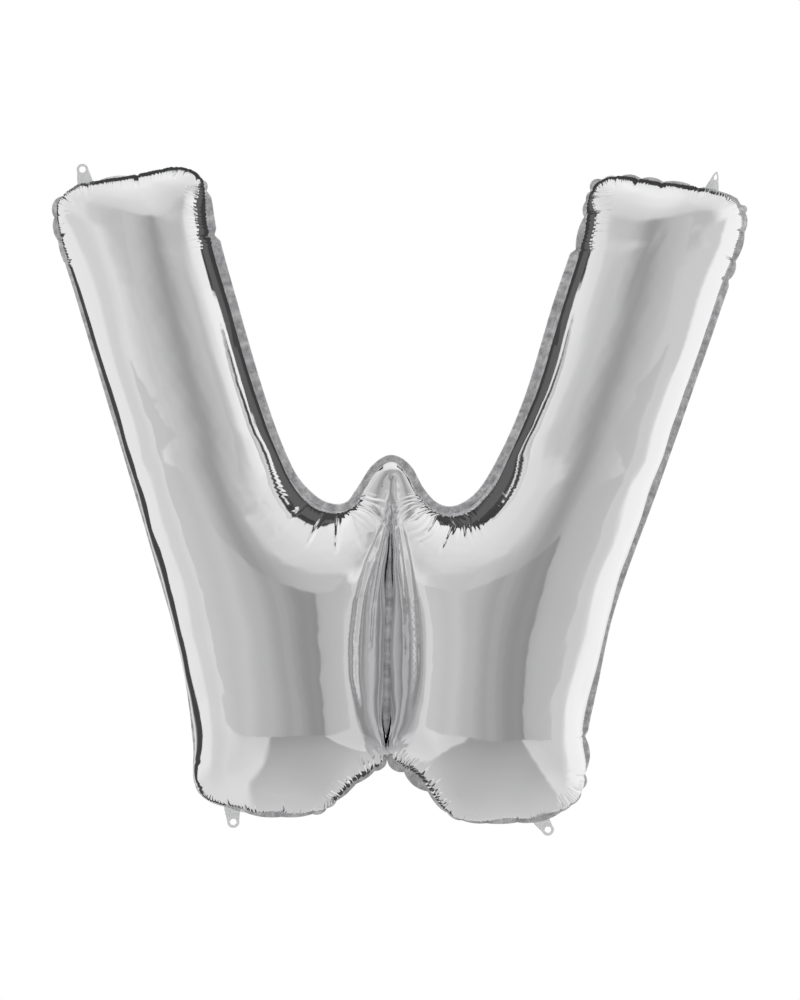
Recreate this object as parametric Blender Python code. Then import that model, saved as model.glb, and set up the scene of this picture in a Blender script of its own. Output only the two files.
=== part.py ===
# Letter foil balloon: a silver W made of two metallised films, welded at the edge.
# Lengths are written in millimetres and turned into metres when a mesh is made.
# X runs to the right, Z up, and the front looks towards -Y.
# The origin lies on the seam plane, in the middle of the outline.
import math

import bpy
import numpy as np
from mathutils import Vector
from mathutils.bvhtree import BVHTree
from mathutils.geometry import delaunay_2d_cdt

MM = 0.001
GAP = 0.3
SHELL = 10.0
SEAL_THICK = 1.2
SEAL_INSIDE = 8.0
RIM_Y = SEAL_THICK / 2 + GAP
FLANGE_CUSP = 4.0
LONGEST_LENS = 62.0
WELD_TOP = (-11.0, 14.0)
WELD_FOOT = (-20.0, -318.0)
SLOT_WIDTH = 7.0
WELD_WIDTH = 19.0
FLAT_WELD_TOP = (-11.0, 50.0)
FLAT_WELD_FOOT = (-9.0, -304.0)

# The seam line of the inflated letter, clockwise from the left arm's outer top corner.
# Columns: x, z.
SEAM = (
    (-475, 396), (-472, 410), (-461, 419), (-418, 435), (-367, 443), (-316, 452),
    (-288, 449), (-276, 439), (-269, 416), (-262, 374), (-236, 277), (-195, 138),
    (-170, 69), (-150, 28), (-130, 5), (-109, -10), (-87, -15), (-68, -10),
    (-50, 14), (-30, 43), (-12, 53), (6, 43), (25, 11), (44, -10),
    (65, -18), (87, -14), (114, 6), (144, 54), (179, 133), (222, 273),
    (248, 350), (259, 393), (263, 418), (280, 439), (307, 443), (335, 441),
    (409, 428), (461, 412), (474, 399), (474, 374), (443, 281), (357, 35),
    (290, -152), (267, -256), (253, -325), (253, -356), (247, -403), (231, -423),
    (195, -438), (138, -444), (90, -441), (66, -429), (36, -396), (0, -368),
    (-18, -356), (-39, -374), (-68, -394), (-104, -424), (-134, -434), (-187, -434),
    (-228, -425), (-269, -407), (-281, -393), (-284, -335), (-300, -222), (-342, -68),
    (-445, 277), (-470, 360),
)

# The cut of the flat film before it is blown up. Columns: x, z.
FLAT_CUT = (
    (-533, 428), (-524, 468), (-494, 499), (-446, 516), (-380, 527), (-318, 529),
    (-284, 513), (-264, 482), (-256, 432), (-232, 352), (-195, 231), (-158, 110),
    (-144, 72), (-124, 42), (-98, 30), (-72, 44), (-50, 74), (-31, 98), (-11, 106),
    (9, 98), (30, 72), (53, 40), (80, 27), (108, 40), (132, 70), (150, 110),
    (182, 211), (213, 309), (250, 427), (260, 476), (282, 509), (322, 524),
    (400, 519), (470, 503), (510, 476), (528, 440), (526, 396), (494, 262),
    (453, 95), (413, -71), (382, -200), (355, -310), (348, -372), (328, -418),
    (300, -442), (262, -456), (215, -464), (165, -464), (116, -460), (80, -438),
    (40, -388), (-2, -352), (-48, -384), (-96, -434), (-135, -450), (-190, -456),
    (-245, -456), (-308, -442), (-346, -418), (-366, -380), (-376, -325), (-402, -200),
    (-429, -71), (-463, 90), (-496, 250), (-523, 380),
)

# Where a place on the flat cut comes to lie when blown. Columns: flat x, z, blown x, z.
LANDMARKS = (
    (-524, 468, -468, 413), (-278, 506, -281, 443), (-248, 404, -259, 362),
    (-98, 30, -88, -15), (-11, 106, -12, 53), (80, 27, 66, -18), (242, 399, 247, 343),
    (264, 486, 266, 427), (522, 460, 470, 404), (506, 307, 448, 290),
    (354, -319, 253, -327), (325, -422, 243, -408), (82, -440, 66, -427),
    (-2, -352, -18, -356), (-98, -436, -104, -422), (-356, -408, -276, -397),
    (-374, -335, -280, -345), (-510, 319, -450, 300),
)

# How the film is blown up, at two meshes, the second twice as fine.
# Columns: rounds, gas pressure, push against shortening.
BLOWING = (
    ((60, 0.05, 0.0), (200, 0.2, 0.02), (300, 0.06, 0.0), (400, 0.02, 0.0)),
    ((250, 0.02, 0.0), (300, 0.006, 0.0)),
)
SPEED_KEPT = 0.97
FAIRING = 60

# Where the puckered seam is pinched, so that the flange stands up in lenses between.
# Columns: x, z, widest reach of the flange from here to the next, going anticlockwise.
CUSPS = (
    (-463, 418, 8.0), (-424, 434, 7.0), (-366, 442, 9.8), (-317, 452, 8.3), (-299, 451, 5.5),
    (-277, 442, 7.1), (-274, 427, 7.6), (-260, 366, 8.0), (248, 346, 9.5), (260, 391, 7.7),
    (262, 413, 7.4), (266, 427, 6.0), (281, 441, 11.0), (303, 443, 7.2), (334, 442, 7.8),
    (363, 434, 7.6), (410, 428, 8.4), (471, 407, 8.0), (476, 397, 9.0), (474, 371, 6.1),
    (461, 332, 6.2), (453, 306, 7.8), (251, -327, 7.0), (249, -378, 10.0), (248, -400, 8.7),
    (233, -418, 6.0), (222, -429, 5.0), (162, -440, 7.0), (120, -442, 5.0), (87, -439, 4.5),
    (69, -428, 6.0), (43, -399, 6.2), (6, -376, 10.5), (-18, -360, 10.3), (-36, -374, 9.4),
    (-64, -388, 5.3), (-89, -415, 6.0), (-104, -423, 6.0), (-122, -431, 7.5), (-165, -430, 4.0),
    (-213, -427, 5.0), (-235, -418, 5.0), (-280, -395, 6.0), (-278, -360, 3.0), (-458, 330, 2.8),
    (-470, 360, 4.8), (-474, 391, 7.2),
)

# The hanging tabs. Columns: name, root x, root z, hole x, hole z, neck width,
# foot width, hole diameter.
TABS = (
    ("tab_top_left", -434, 430, -440, 458, 16.0, 24.0, 9.0),
    ("tab_top_right", 430, 423, 437, 447, 16.0, 22.0, 8.0),
    ("tab_bottom_left", -233, -420, -231, -446, 17.0, 24.0, 9.0),
    ("tab_bottom_right", 190, -435, 205, -457, 17.0, 26.0, 9.0),
)


def closed_curve(knots, step=1.0):
    """Close-set points on the smooth closed curve through the knots."""
    knots = np.array(knots, float)
    points = []
    count = len(knots)
    for i in range(count):
        p = [knots[(i + k - 1) % count] for k in range(4)]
        t = [0.0]
        for a, b in zip(p, p[1:]):
            t.append(t[-1] + math.sqrt(np.linalg.norm(b - a)))
        pieces = max(2, round(np.linalg.norm(p[2] - p[1]) / step))
        for s in np.linspace(t[1], t[2], pieces, endpoint=False):
            a1 = (p[0] * (t[1] - s) + p[1] * (s - t[0])) / (t[1] - t[0])
            a2 = (p[1] * (t[2] - s) + p[2] * (s - t[1])) / (t[2] - t[1])
            a3 = (p[2] * (t[3] - s) + p[3] * (s - t[2])) / (t[3] - t[2])
            b1 = (a1 * (t[2] - s) + a2 * (s - t[0])) / (t[2] - t[0])
            b2 = (a2 * (t[3] - s) + a3 * (s - t[1])) / (t[3] - t[1])
            points.append((b1 * (t[2] - s) + b2 * (s - t[1])) / (t[2] - t[1]))
    points = np.array(points)
    return points if area_of(points) > 0 else points[::-1]


def area_of(ring):
    """Signed area of a closed ring, positive when it runs anticlockwise."""
    after = np.roll(ring, -1, axis=0)
    return 0.5 * float(np.sum(ring[:, 0] * after[:, 1] - ring[:, 1] * after[:, 0]))


def outward(ring):
    """Unit normals of an anticlockwise ring, pointing away from what it encloses."""
    along = np.roll(ring, -1, axis=0) - np.roll(ring, 1, axis=0)
    along /= np.linalg.norm(along, axis=1)[:, None]
    return np.stack([along[:, 1], -along[:, 0]], axis=1)


def stations(ring):
    """Distance along the closed ring at each point, and its whole length."""
    steps = np.linalg.norm(np.roll(ring, -1, axis=0) - ring, axis=1)
    return np.concatenate([[0.0], np.cumsum(steps)[:-1]]), float(steps.sum())


def respaced(ring, spacing):
    """The ring again, its points as far apart as spacing says at each point."""
    at, whole = stations(ring)
    closed_at = np.append(at, whole)
    density = 1.0 / np.asarray(spacing, float)
    density = np.append(density, density[0])
    grown = np.concatenate(
        [[0.0], np.cumsum(0.5 * (density[1:] + density[:-1]) * np.diff(closed_at))]
    )
    count = int(math.ceil(grown[-1]))
    wanted = np.interp(np.arange(count) * grown[-1] / count, grown, closed_at)
    closed = np.vstack([ring, ring[:1]])
    return np.stack([np.interp(wanted, closed_at, closed[:, k]) for k in (0, 1)], 1)


def spacing_by_bend(ring, straight, tight):
    """Wide spacing on straight runs and narrow spacing round corners."""
    at, whole = stations(ring)
    reach = 12
    before = ring - np.roll(ring, reach, axis=0)
    after = np.roll(ring, -reach, axis=0) - ring
    turn = np.abs(
        np.arctan2(
            before[:, 0] * after[:, 1] - before[:, 1] * after[:, 0],
            np.sum(before * after, axis=1),
        )
    )
    radius = np.linalg.norm(before, axis=1) / np.maximum(turn, 1e-4)
    return np.clip(0.32 * radius, tight, straight)


def distance_to(points, ring):
    """Distance from each point to the nearest edge of the closed ring."""
    a = ring[None]
    ab = np.roll(ring, -1, axis=0)[None] - a
    best = []
    for start in range(0, len(points), 400):
        ap = points[start : start + 400, None] - a
        t = np.clip(np.sum(ap * ab, 2) / np.sum(ab * ab, 2), 0, 1)
        best.append(np.linalg.norm(ap - t[..., None] * ab, axis=2).min(1))
    return np.concatenate(best)


def inside(points, ring):
    """Which of the points lie inside the closed ring."""
    x, z = points[:, 0, None], points[:, 1, None]
    x0, z0 = ring[:, 0][None], ring[:, 1][None]
    x1, z1 = np.roll(ring, -1, axis=0).T[:, None]
    crosses = (z0 > z) != (z1 > z)
    rise = np.where(z1 == z0, 1e-9, z1 - z0)
    left = x < (x1 - x0) * (z - z0) / rise + x0
    return np.sum(crosses & left, axis=1) % 2 == 1


def shifted(ring, away):
    """The ring moved outwards by `away`, less the points that would cross."""
    moved = ring + outward(ring) * away
    return moved[distance_to(moved, ring) > 0.985 * abs(away)]


def stadium(top, foot, width, step=12.0):
    """Anticlockwise ring of a straight strip with round ends."""
    top, foot = np.array(top, float), np.array(foot, float)
    along = (foot - top) / np.linalg.norm(foot - top)
    across = np.array([-along[1], along[0]])
    half = width / 2
    count = max(2, round(np.linalg.norm(foot - top) / step))
    points = [foot * t + top * (1 - t) + across * half for t in np.linspace(0, 1, count)]
    for a in np.linspace(0, math.pi, 7)[1:-1]:
        points.append(foot + across * half * math.cos(a) + along * half * math.sin(a))
    points += [top * t + foot * (1 - t) - across * half for t in np.linspace(0, 1, count)]
    for a in np.linspace(0, math.pi, 7)[1:-1]:
        points.append(top - across * half * math.cos(a) - along * half * math.sin(a))
    points = np.array(points)
    return points if area_of(points) > 0 else points[::-1]


def scattered(outer, hole, rows):
    """Points in the film between its two rings, in rows that follow the edges.

    Each row gives a distance from the edge and the spacing along it.
    """
    kept = np.vstack([outer, hole])
    edges = len(kept)
    for depth, spacing in rows:
        for ring, side in ((outer, -1), (hole, 1)):
            dense = ring if depth < 5 else respaced(ring, np.full(len(ring), spacing))
            row = dense + outward(dense) * side * depth
            clear = np.minimum(distance_to(row, outer), distance_to(row, hole))
            row = row[inside(row, outer) & ~inside(row, hole) & (clear > 0.94 * depth)]
            for point in row:
                if np.linalg.norm(kept - point, axis=1).min() > 0.62 * min(spacing, 2.2 * depth):
                    kept = np.vstack([kept, point])
    depth, spacing = rows[-1]
    low, high = outer.min(0), outer.max(0)
    for j, z in enumerate(np.arange(low[1], high[1], spacing * 0.87)):
        for x in np.arange(low[0] + (j % 2) * spacing / 2, high[0], spacing):
            point = np.array([[x, z]])
            if not inside(point, outer)[0]:
                continue
            clear = min(distance_to(point, outer)[0], distance_to(point, hole)[0])
            if clear > depth and np.linalg.norm(kept - point, axis=1).min() > 0.75 * spacing:
                kept = np.vstack([kept, point])
    return kept, edges


def triangles(points, rings, wanted):
    """Triangles over the points that keep the rings' edges and that pass `wanted`."""
    edges = []
    start = 0
    for ring in rings:
        count = len(ring)
        edges += [(start + i, start + (i + 1) % count) for i in range(count)]
        start += count
    found = delaunay_2d_cdt([Vector(p) for p in points], edges, [], 0, 1e-4)
    where = np.array([v[:] for v in found[0]])
    faces = np.array([f for f in found[2] if len(f) == 3])
    a, b, c = (where[faces[:, k]] for k in range(3))
    turned = (b[:, 0] - a[:, 0]) * (c[:, 1] - a[:, 1]) - (b[:, 1] - a[:, 1]) * (c[:, 0] - a[:, 0])
    faces[turned < 0] = faces[turned < 0][:, ::-1]
    middle = where[faces].mean(1)
    return where, faces[wanted(middle) & (np.abs(turned) > 1e-6)]


def carried_seam(points, cut, seam):
    """Where points on the flat cut's edge come to lie on the blown seam."""
    cut_at, cut_whole = stations(cut)
    seam_at, seam_whole = stations(seam)
    pairs = []
    for x, z, blown_x, blown_z in LANDMARKS:
        start = cut_at[np.argmin(np.linalg.norm(cut - np.array((x, z)), axis=1))]
        end = seam_at[np.argmin(np.linalg.norm(seam - np.array((blown_x, blown_z)), axis=1))]
        pairs.append((start, end))
    start, end = (list(column) for column in zip(*sorted(pairs)))
    for i in range(1, len(end)):
        while end[i] < end[i - 1]:
            end[i] += seam_whole
    start = [start[-1] - cut_whole, *start, start[0] + cut_whole]
    end = [end[-1] - seam_whole, *end, end[0] + seam_whole]
    nearest = [np.argmin(np.linalg.norm(cut - point, axis=1)) for point in points]
    at = np.interp(cut_at[nearest], start, end) % seam_whole
    closed = np.vstack([seam, seam[:1]])
    return np.stack([np.interp(at, np.append(seam_at, seam_whole), closed[:, k]) for k in (0, 1)], 1)


def weld_frame(top, foot):
    """The weld's top, its length and its directions along and across."""
    top, foot = np.array(top), np.array(foot)
    length = np.linalg.norm(foot - top)
    along = (foot - top) / length
    return top, length, along, np.array([-along[1], along[0]])


def carried_weld(points):
    """Where points on the flat weld's edge come to lie when blown."""
    top, length, along, across = weld_frame(FLAT_WELD_TOP, FLAT_WELD_FOOT)
    new_top, new_length, new_along, new_across = weld_frame(WELD_TOP, WELD_FOOT)
    down = (points - top) @ along
    aside = (points - top) @ across
    inner = np.clip(down, 0, length)
    down = inner * new_length / length + down - inner
    return new_top + down[:, None] * new_along + aside[:, None] * new_across


def edge_groups(edges, count):
    """The edges in groups in which no two share a point."""
    used = [0] * count
    group = []
    for a, b in edges.tolist():
        free = ~(used[a] | used[b])
        bit = free & -free
        used[a] |= bit
        used[b] |= bit
        group.append(bit.bit_length() - 1)
    group = np.array(group)
    return [np.nonzero(group == g)[0] for g in range(group.max() + 1)]


def sides_of(faces):
    """All sides of the triangles, each with its lower point first."""
    return np.sort(np.concatenate([faces[:, [0, 1]], faces[:, [1, 2]], faces[:, [2, 0]]]), 1)


def halved(flat, place, faces):
    """Each triangle split in four, and the flat and the blown places of all points."""
    unique, which = np.unique(sides_of(faces), axis=0, return_inverse=True)
    ab, bc, ca = len(flat) + which.reshape(3, len(faces))
    a, b, c = faces.T
    corners = ((a, ab, ca), (ab, b, bc), (ca, bc, c), (ab, bc, ca))
    flat = np.vstack([flat, flat[unique].mean(1)])
    place = np.vstack([place, place[unique].mean(1)])
    return flat, place, np.vstack([np.stack(t, 1) for t in corners])


def held_points(flat, faces, cut, seam):
    """The points on the seam and the weld, and where they are held."""
    edges, uses = np.unique(sides_of(faces), axis=0, return_counts=True)
    held = np.unique(edges[uses == 1])
    top, length, along, across = weld_frame(FLAT_WELD_TOP, FLAT_WELD_FOOT)
    rel = flat[held] - top
    near = (np.abs(rel @ across) < SLOT_WIDTH) & (np.abs(rel @ along - length / 2) < length / 2 + SLOT_WIDTH)
    goal = np.zeros((len(held), 3))
    goal[near] = carried_weld(flat[held[near]])[:, [0, 0, 1]] * (1, 0, 1)
    goal[~near] = carried_seam(flat[held[~near]], cut, seam)[:, [0, 0, 1]] * (1, 0, 1)
    return held, goal


def lobe_sides(flat):
    """The points of the two lobes beside the weld, and the side each lies on."""
    top, length, along, across = weld_frame(FLAT_WELD_TOP, FLAT_WELD_FOOT)
    down = (flat - top) @ along
    aside = (flat - top) @ across
    felt = np.nonzero((down > -30) & (down < 400) & (np.abs(aside) < 160) & (np.abs(aside) > 0.5))[0]
    return felt, np.sign(aside[felt])


def relaxed(flat, place, faces, cut, seam, stages):
    """The film's shape under the gas: it can't stretch, and it is held at seam and weld."""
    count = len(flat)
    edges = np.unique(sides_of(faces), axis=0)
    rest = np.linalg.norm(flat[edges[:, 0]] - flat[edges[:, 1]], axis=1)
    groups = [(edges[g, 0], edges[g, 1], rest[g]) for g in edge_groups(edges, count)]
    a, b, c = (flat[faces[:, k]] for k in range(3))
    cross = (b[:, 0] - a[:, 0]) * (c[:, 1] - a[:, 1]) - (b[:, 1] - a[:, 1]) * (c[:, 0] - a[:, 0])
    share = np.abs(cross).sum() / 2 / count
    held, goal = held_points(flat, faces, cut, seam)
    felt, side = lobe_sides(flat)
    top, _, _, across = weld_frame(WELD_TOP, WELD_FOOT)
    speed = np.zeros_like(place)
    for rounds, pressure, push in stages:
        for _ in range(rounds):
            a, b, c = (place[faces[:, k]] for k in range(3))
            thrust = np.repeat(np.cross(b - a, c - a) * (pressure / share / 6), 3, axis=0)
            force = np.stack([np.bincount(faces.ravel(), thrust[:, k], count) for k in range(3)], 1)
            before = place.copy()
            place = place + speed * SPEED_KEPT + force
            for i, j, length in groups:
                gap = place[j] - place[i]
                now = np.sqrt(np.einsum("ij,ij->i", gap, gap)) + 1e-9
                pull = (now - length) / now * 0.5
                gap *= np.where(pull > 0, pull, pull * push)[:, None]
                place[i] += gap
                place[j] -= gap
            place[held] += (goal - place[held]) * 0.5
            aside = ((place[felt][:, [0, 2]] - top) @ across) * side
            short = np.minimum(aside - 0.4, 0) * side
            place[felt, 0] -= short * across[0]
            place[felt, 2] -= short * across[1]
            speed = place - before
    return place


def faired(place, faces, held):
    """The mesh with its small waves taken out, pulled in and pushed back by turns."""
    edges = np.unique(sides_of(faces), axis=0)
    ends, others = np.concatenate([edges, edges[:, ::-1]]).T
    neighbours = np.maximum(np.bincount(ends, minlength=len(place)), 1)[:, None]
    place = place.copy()
    fixed = place[held].copy()
    for _ in range(FAIRING):
        for step in (0.5, -0.52):
            near = np.stack([np.bincount(ends, place[others, k], len(place)) for k in range(3)], 1)
            place += (near / neighbours - place) * step
            place[held] = fixed
    return place


def blown_surface(seam):
    """The front film blown up, as a surface to measure on."""
    cut = closed_curve(FLAT_CUT)
    edge = respaced(cut, spacing_by_bend(cut, 12, 8))
    slot = stadium(FLAT_WELD_TOP, FLAT_WELD_FOOT, SLOT_WIDTH)
    rows = ((10, 12), (22, 15), (38, 19), (60, 25), (90, 31))
    points, _ = scattered(edge, slot, rows)
    flat, faces = triangles(points, (edge, slot), lambda m: inside(m, edge) & ~inside(m, slot))
    place = np.stack([flat[:, 0], np.full(len(flat), -10.0), flat[:, 1]], 1)
    for level, stages in enumerate(BLOWING):
        if level:
            flat, place, faces = halved(flat, place, faces)
        place = relaxed(flat, place, faces, cut, seam, stages)
    place = faired(place, faces, held_points(flat, faces, cut, seam)[0])
    return BVHTree.FromPolygons(place.tolist(), faces.tolist())


def outer_height(points, surface):
    """Height of the blown film over the seam plane at each point."""
    high = []
    for x, z in points:
        hit = surface.ray_cast(Vector((x, -500, z)), Vector((0, 1, 0)))[0]
        if hit is None:
            hit = surface.find_nearest(Vector((x, 0, z)))[0]
        high.append(max(-hit.y, 0.0))
    return np.array(high)


def inner_height(points, rings, surface):
    """Height at each point of the surface that lies the shell's thickness inside the film."""
    top = outer_height(points, surface)
    clear = np.min([distance_to(points, ring) for ring in rings], axis=0)
    low = np.minimum(0.4 * clear, 0.3 * top)
    high = []
    for (x, z), least, most in zip(points, low, top - SHELL):
        if most > least:
            for _ in range(12):
                middle = (least + most) / 2
                away = surface.find_nearest(Vector((x, -middle, z)))[3]
                least, most = (middle, most) if away > SHELL else (least, middle)
        high.append(least)
    return np.array(high)


def material(name, colour, metallic, roughness, alpha=1.0):
    """A Principled material for one finish."""
    made = bpy.data.materials.new(name)
    made.use_nodes = True
    shader = made.node_tree.nodes["Principled BSDF"]
    shader.inputs["Base Color"].default_value = (*colour, 1.0)
    shader.inputs["Metallic"].default_value = metallic
    shader.inputs["Roughness"].default_value = roughness
    shader.inputs["Alpha"].default_value = alpha
    return made


def add_mesh(name, corners, faces, finish, origin=(0, 0, 0), sharp=40):
    """One named mesh object, its corners given in millimetres about its origin."""
    mesh = bpy.data.meshes.new(name)
    mesh.from_pydata([tuple(MM * v for v in p) for p in corners], [], [tuple(map(int, f)) for f in faces])
    mesh.polygons.foreach_set("use_smooth", [True] * len(mesh.polygons))
    mesh.set_sharp_from_angle(angle=math.radians(sharp))
    mesh.materials.append(finish)
    made = bpy.data.objects.new(name, mesh)
    made.location = [MM * v for v in origin]
    bpy.context.collection.objects.link(made)
    return made


def film(name, side, seam, slot, surface, finish):
    """One blown half of the envelope, a shell open at the seam plane.

    side is -1 for the front and 1 for the back.
    """
    rows = ((2.6, 15), (9.5, 15), (21, 17), (38, 21), (60, 26), (84, 28), (108, 30))
    outer, outer_count = scattered(seam, slot, rows)
    outer_at, outer_faces = triangles(
        outer, (seam, slot), lambda m: inside(m, seam) & ~inside(m, slot)
    )
    outer_high = outer_height(outer_at, surface)
    outer_high[:outer_count] = 0

    seam_in = shifted(seam, -SHELL)
    slot_in = shifted(slot, SHELL)
    rows = ((3.4, 20), (12, 21), (27, 24), (48, 30), (72, 34), (98, 36))
    inner, inner_count = scattered(seam_in, slot_in, rows)
    inner_at, inner_faces = triangles(
        inner, (seam_in, slot_in), lambda m: inside(m, seam_in) & ~inside(m, slot_in)
    )
    inner_high = inner_height(inner_at, (seam_in, slot_in), surface)
    inner_high[:inner_count] = 0

    rim_at = np.vstack([outer_at[:outer_count], inner_at[:inner_count]])
    _, rim_faces = triangles(
        rim_at,
        (seam, slot, seam_in, slot_in),
        lambda m: inside(m, seam) & ~inside(m, slot) & ~(inside(m, seam_in) & ~inside(m, slot_in)),
    )
    base = len(outer_at)
    rim_index = np.concatenate([np.arange(outer_count), base + np.arange(inner_count)])
    corners = np.vstack([outer_at, inner_at])
    high = np.concatenate([outer_high, inner_high]) + RIM_Y
    corners = np.stack([corners[:, 0], side * high, corners[:, 1]], 1)
    faces = np.vstack([outer_faces, base + inner_faces[:, ::-1], rim_index[rim_faces][:, ::-1]])
    if side > 0:
        faces = faces[:, ::-1]
    return add_mesh(name, corners, faces, finish)


def flange_width(ring, cusps, roots):
    """How far the flange stands out of the seam at each point of the ring."""
    at, whole = stations(ring)
    marks = sorted(
        (at[np.argmin(np.linalg.norm(ring - np.array((x, z)), axis=1))], wide) for x, z, wide in cusps
    )
    marks = [m for k, m in enumerate(marks) if k == 0 or m[0] - marks[k - 1][0] > 3]
    width = np.zeros(len(ring))
    for k, (start, wide) in enumerate(marks):
        end = marks[(k + 1) % len(marks)][0]
        length = (end - start) % whole
        into = (at - start) % whole
        here = into < length
        if length < LONGEST_LENS:
            rise = np.sin(math.pi * into[here] / length) ** 0.7
        else:
            rise = np.clip(np.minimum(into[here], length - into[here]) / 9, 0, 1)
        low = min(FLANGE_CUSP, wide)
        width[here] = low + (wide - low) * rise
    for root, foot in roots:
        away = np.abs((at - root + whole / 2) % whole - whole / 2)
        width = np.where(away < foot / 2 + 7, FLANGE_CUSP, width)
    return width


def plate(name, rings, holes, thick, finish, origin):
    """A flat plate across Y, from an anticlockwise ring with round holes in it."""
    points = np.vstack(rings)
    outer = rings[0]
    at, faces = triangles(
        points,
        rings,
        lambda m: inside(m, outer) & ~np.any([inside(m, h) for h in holes], axis=0)
        if holes
        else inside(m, outer),
    )
    count = len(at)
    walls = []
    start = 0
    for ring in rings:
        for i in range(len(ring)):
            a, b = start + i, start + (i + 1) % len(ring)
            if ring is outer:
                walls += [(a, b + count, b), (a, a + count, b + count)]
            else:
                walls += [(a, b, b + count), (a, b + count, a + count)]
        start += len(ring)
    low = np.stack([at[:, 0], np.full(count, -thick / 2), at[:, 1]], 1)
    high = np.stack([at[:, 0], np.full(count, thick / 2), at[:, 1]], 1)
    corners = np.vstack([low, high]) - np.array([origin[0], 0, origin[1]])
    every = np.vstack([faces, faces[:, ::-1] + count, np.array(walls)])
    return add_mesh(name, corners, every, finish, (origin[0], 0, origin[1]), 30)


def seal(name, ring, width, finish):
    """The welded edge strip: held between the films, and standing out as the flange."""
    out = outward(ring)
    inner = ring - out * SEAL_INSIDE
    outer = ring + out * width[:, None]
    count = len(ring)
    corners = []
    for line, y in ((inner, -1), (outer, -1), (outer, 1), (inner, 1)):
        corners += [(x, y * SEAL_THICK / 2, z) for x, z in line]
    faces = []
    for i in range(count):
        j = (i + 1) % count
        for k in range(4):
            a, b = k * count, ((k + 1) % 4) * count
            faces += [(a + i, b + i, b + j), (a + i, b + j, a + j)]
    return add_mesh(name, corners, faces, finish, (0, 0, 0), 30)


def tab(name, root, hole, neck, foot, bore, ring, width, finish):
    """A hanging tab of clear film, butted to the flange, with a round hole."""
    out = outward(ring)
    at, whole = stations(ring)
    middle = at[np.argmin(np.linalg.norm(ring - np.array(root), axis=1))]
    away = (at - middle + whole / 2) % whole - whole / 2
    order = np.argsort(away)
    base = []
    for reach in np.linspace(-foot / 2, foot / 2, 7):
        k = order[np.searchsorted(away[order], reach)]
        base.append(ring[k] + out[k] * (FLANGE_CUSP + GAP + 0.1))
    base = np.array(base)
    start = base[3]
    hole = np.array(hole, float)
    along = (hole - start) / np.linalg.norm(hole - start)
    across = np.array([-along[1], along[0]])
    if np.dot(base[-1] - base[0], across) < 0:
        across = -across
    shoulder = start + along * 9
    points = [shoulder + across * neck / 2, hole + across * neck / 2]
    for a in np.linspace(0, math.pi, 9)[1:-1]:
        points.append(hole + across * neck / 2 * math.cos(a) + along * neck / 2 * math.sin(a))
    points += [hole - across * neck / 2, shoulder - across * neck / 2]
    outline = np.vstack([base, np.array(points)])
    if area_of(outline) < 0:
        outline = outline[::-1]
    bored = np.array(
        [hole + bore / 2 * np.array([math.cos(a), math.sin(a)]) for a in np.arange(16) * math.pi / 8]
    )
    return plate(name, [outline, bored], [bored], SEAL_THICK, finish, tuple(start))


def build():
    for old in list(bpy.data.objects):
        bpy.data.objects.remove(old, do_unlink=True)

    silver = material("metallised_film", (0.80, 0.80, 0.81), 1.0, 0.12)
    welded = material("heat_sealed_film", (0.55, 0.55, 0.56), 1.0, 0.32)
    clear = material("clear_tab_film", (0.82, 0.83, 0.84), 0.0, 0.18)

    curve = closed_curve(SEAM)
    seam = respaced(curve, spacing_by_bend(curve, 17, 6.5))
    slot = stadium(WELD_TOP, WELD_FOOT, SLOT_WIDTH)
    surface = blown_surface(curve)
    film("front_film", -1, seam, slot, surface, silver)
    film("back_film", 1, seam, slot, surface, silver)

    at, whole = stations(curve)
    roots = []
    for _, x, z, _, _, _, foot, _ in TABS:
        root = at[np.argmin(np.linalg.norm(curve - np.array([x, z]), axis=1))]
        roots.append((root, foot))
    width = flange_width(curve, CUSPS, roots)
    slope = np.abs(np.roll(width, -4) - np.roll(width, 4))
    spacing = np.where(slope > 0.25, 4.5, spacing_by_bend(curve, 16, 6))
    edge = respaced(curve, spacing)
    edge_width = flange_width(edge, CUSPS, roots)
    seal("perimeter_seal", edge, edge_width, welded)
    weld = stadium(WELD_TOP, WELD_FOOT, WELD_WIDTH, 400)
    plate("centre_weld", [weld], [], SEAL_THICK, welded, WELD_TOP)

    for name, x, z, hole_x, hole_z, neck, foot, bore in TABS:
        tab(name, (x, z), (hole_x, hole_z), neck, foot, bore, curve, width, clear)


build()
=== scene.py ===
"""Looks of a letter foil balloon: a silver W of two metallised films, blown up and floating.

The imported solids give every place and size. The films are cut flat, blown up by a small
cloth solver with their seam led to the photographed line, and then pleated and creased.
Lengths in the classes are millimetres, and a mesh is turned into metres when it is made.
X runs to the right, Z up, and the front looks towards -Y.
"""

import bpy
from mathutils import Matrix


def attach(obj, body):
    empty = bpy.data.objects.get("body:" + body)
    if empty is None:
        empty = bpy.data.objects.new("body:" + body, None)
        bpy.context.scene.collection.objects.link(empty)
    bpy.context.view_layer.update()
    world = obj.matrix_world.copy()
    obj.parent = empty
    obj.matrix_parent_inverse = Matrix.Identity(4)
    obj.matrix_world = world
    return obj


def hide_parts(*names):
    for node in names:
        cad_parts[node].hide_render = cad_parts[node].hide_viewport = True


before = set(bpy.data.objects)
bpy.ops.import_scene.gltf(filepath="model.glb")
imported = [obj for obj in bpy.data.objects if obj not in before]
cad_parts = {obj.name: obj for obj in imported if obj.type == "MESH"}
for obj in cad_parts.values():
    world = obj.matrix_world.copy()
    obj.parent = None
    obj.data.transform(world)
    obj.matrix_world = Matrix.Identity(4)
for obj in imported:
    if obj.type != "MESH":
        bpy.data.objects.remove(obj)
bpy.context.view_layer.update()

import logging
import math
from dataclasses import dataclass, field
from enum import Enum, IntEnum
from typing import Any, Callable, Iterable, Sequence

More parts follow.
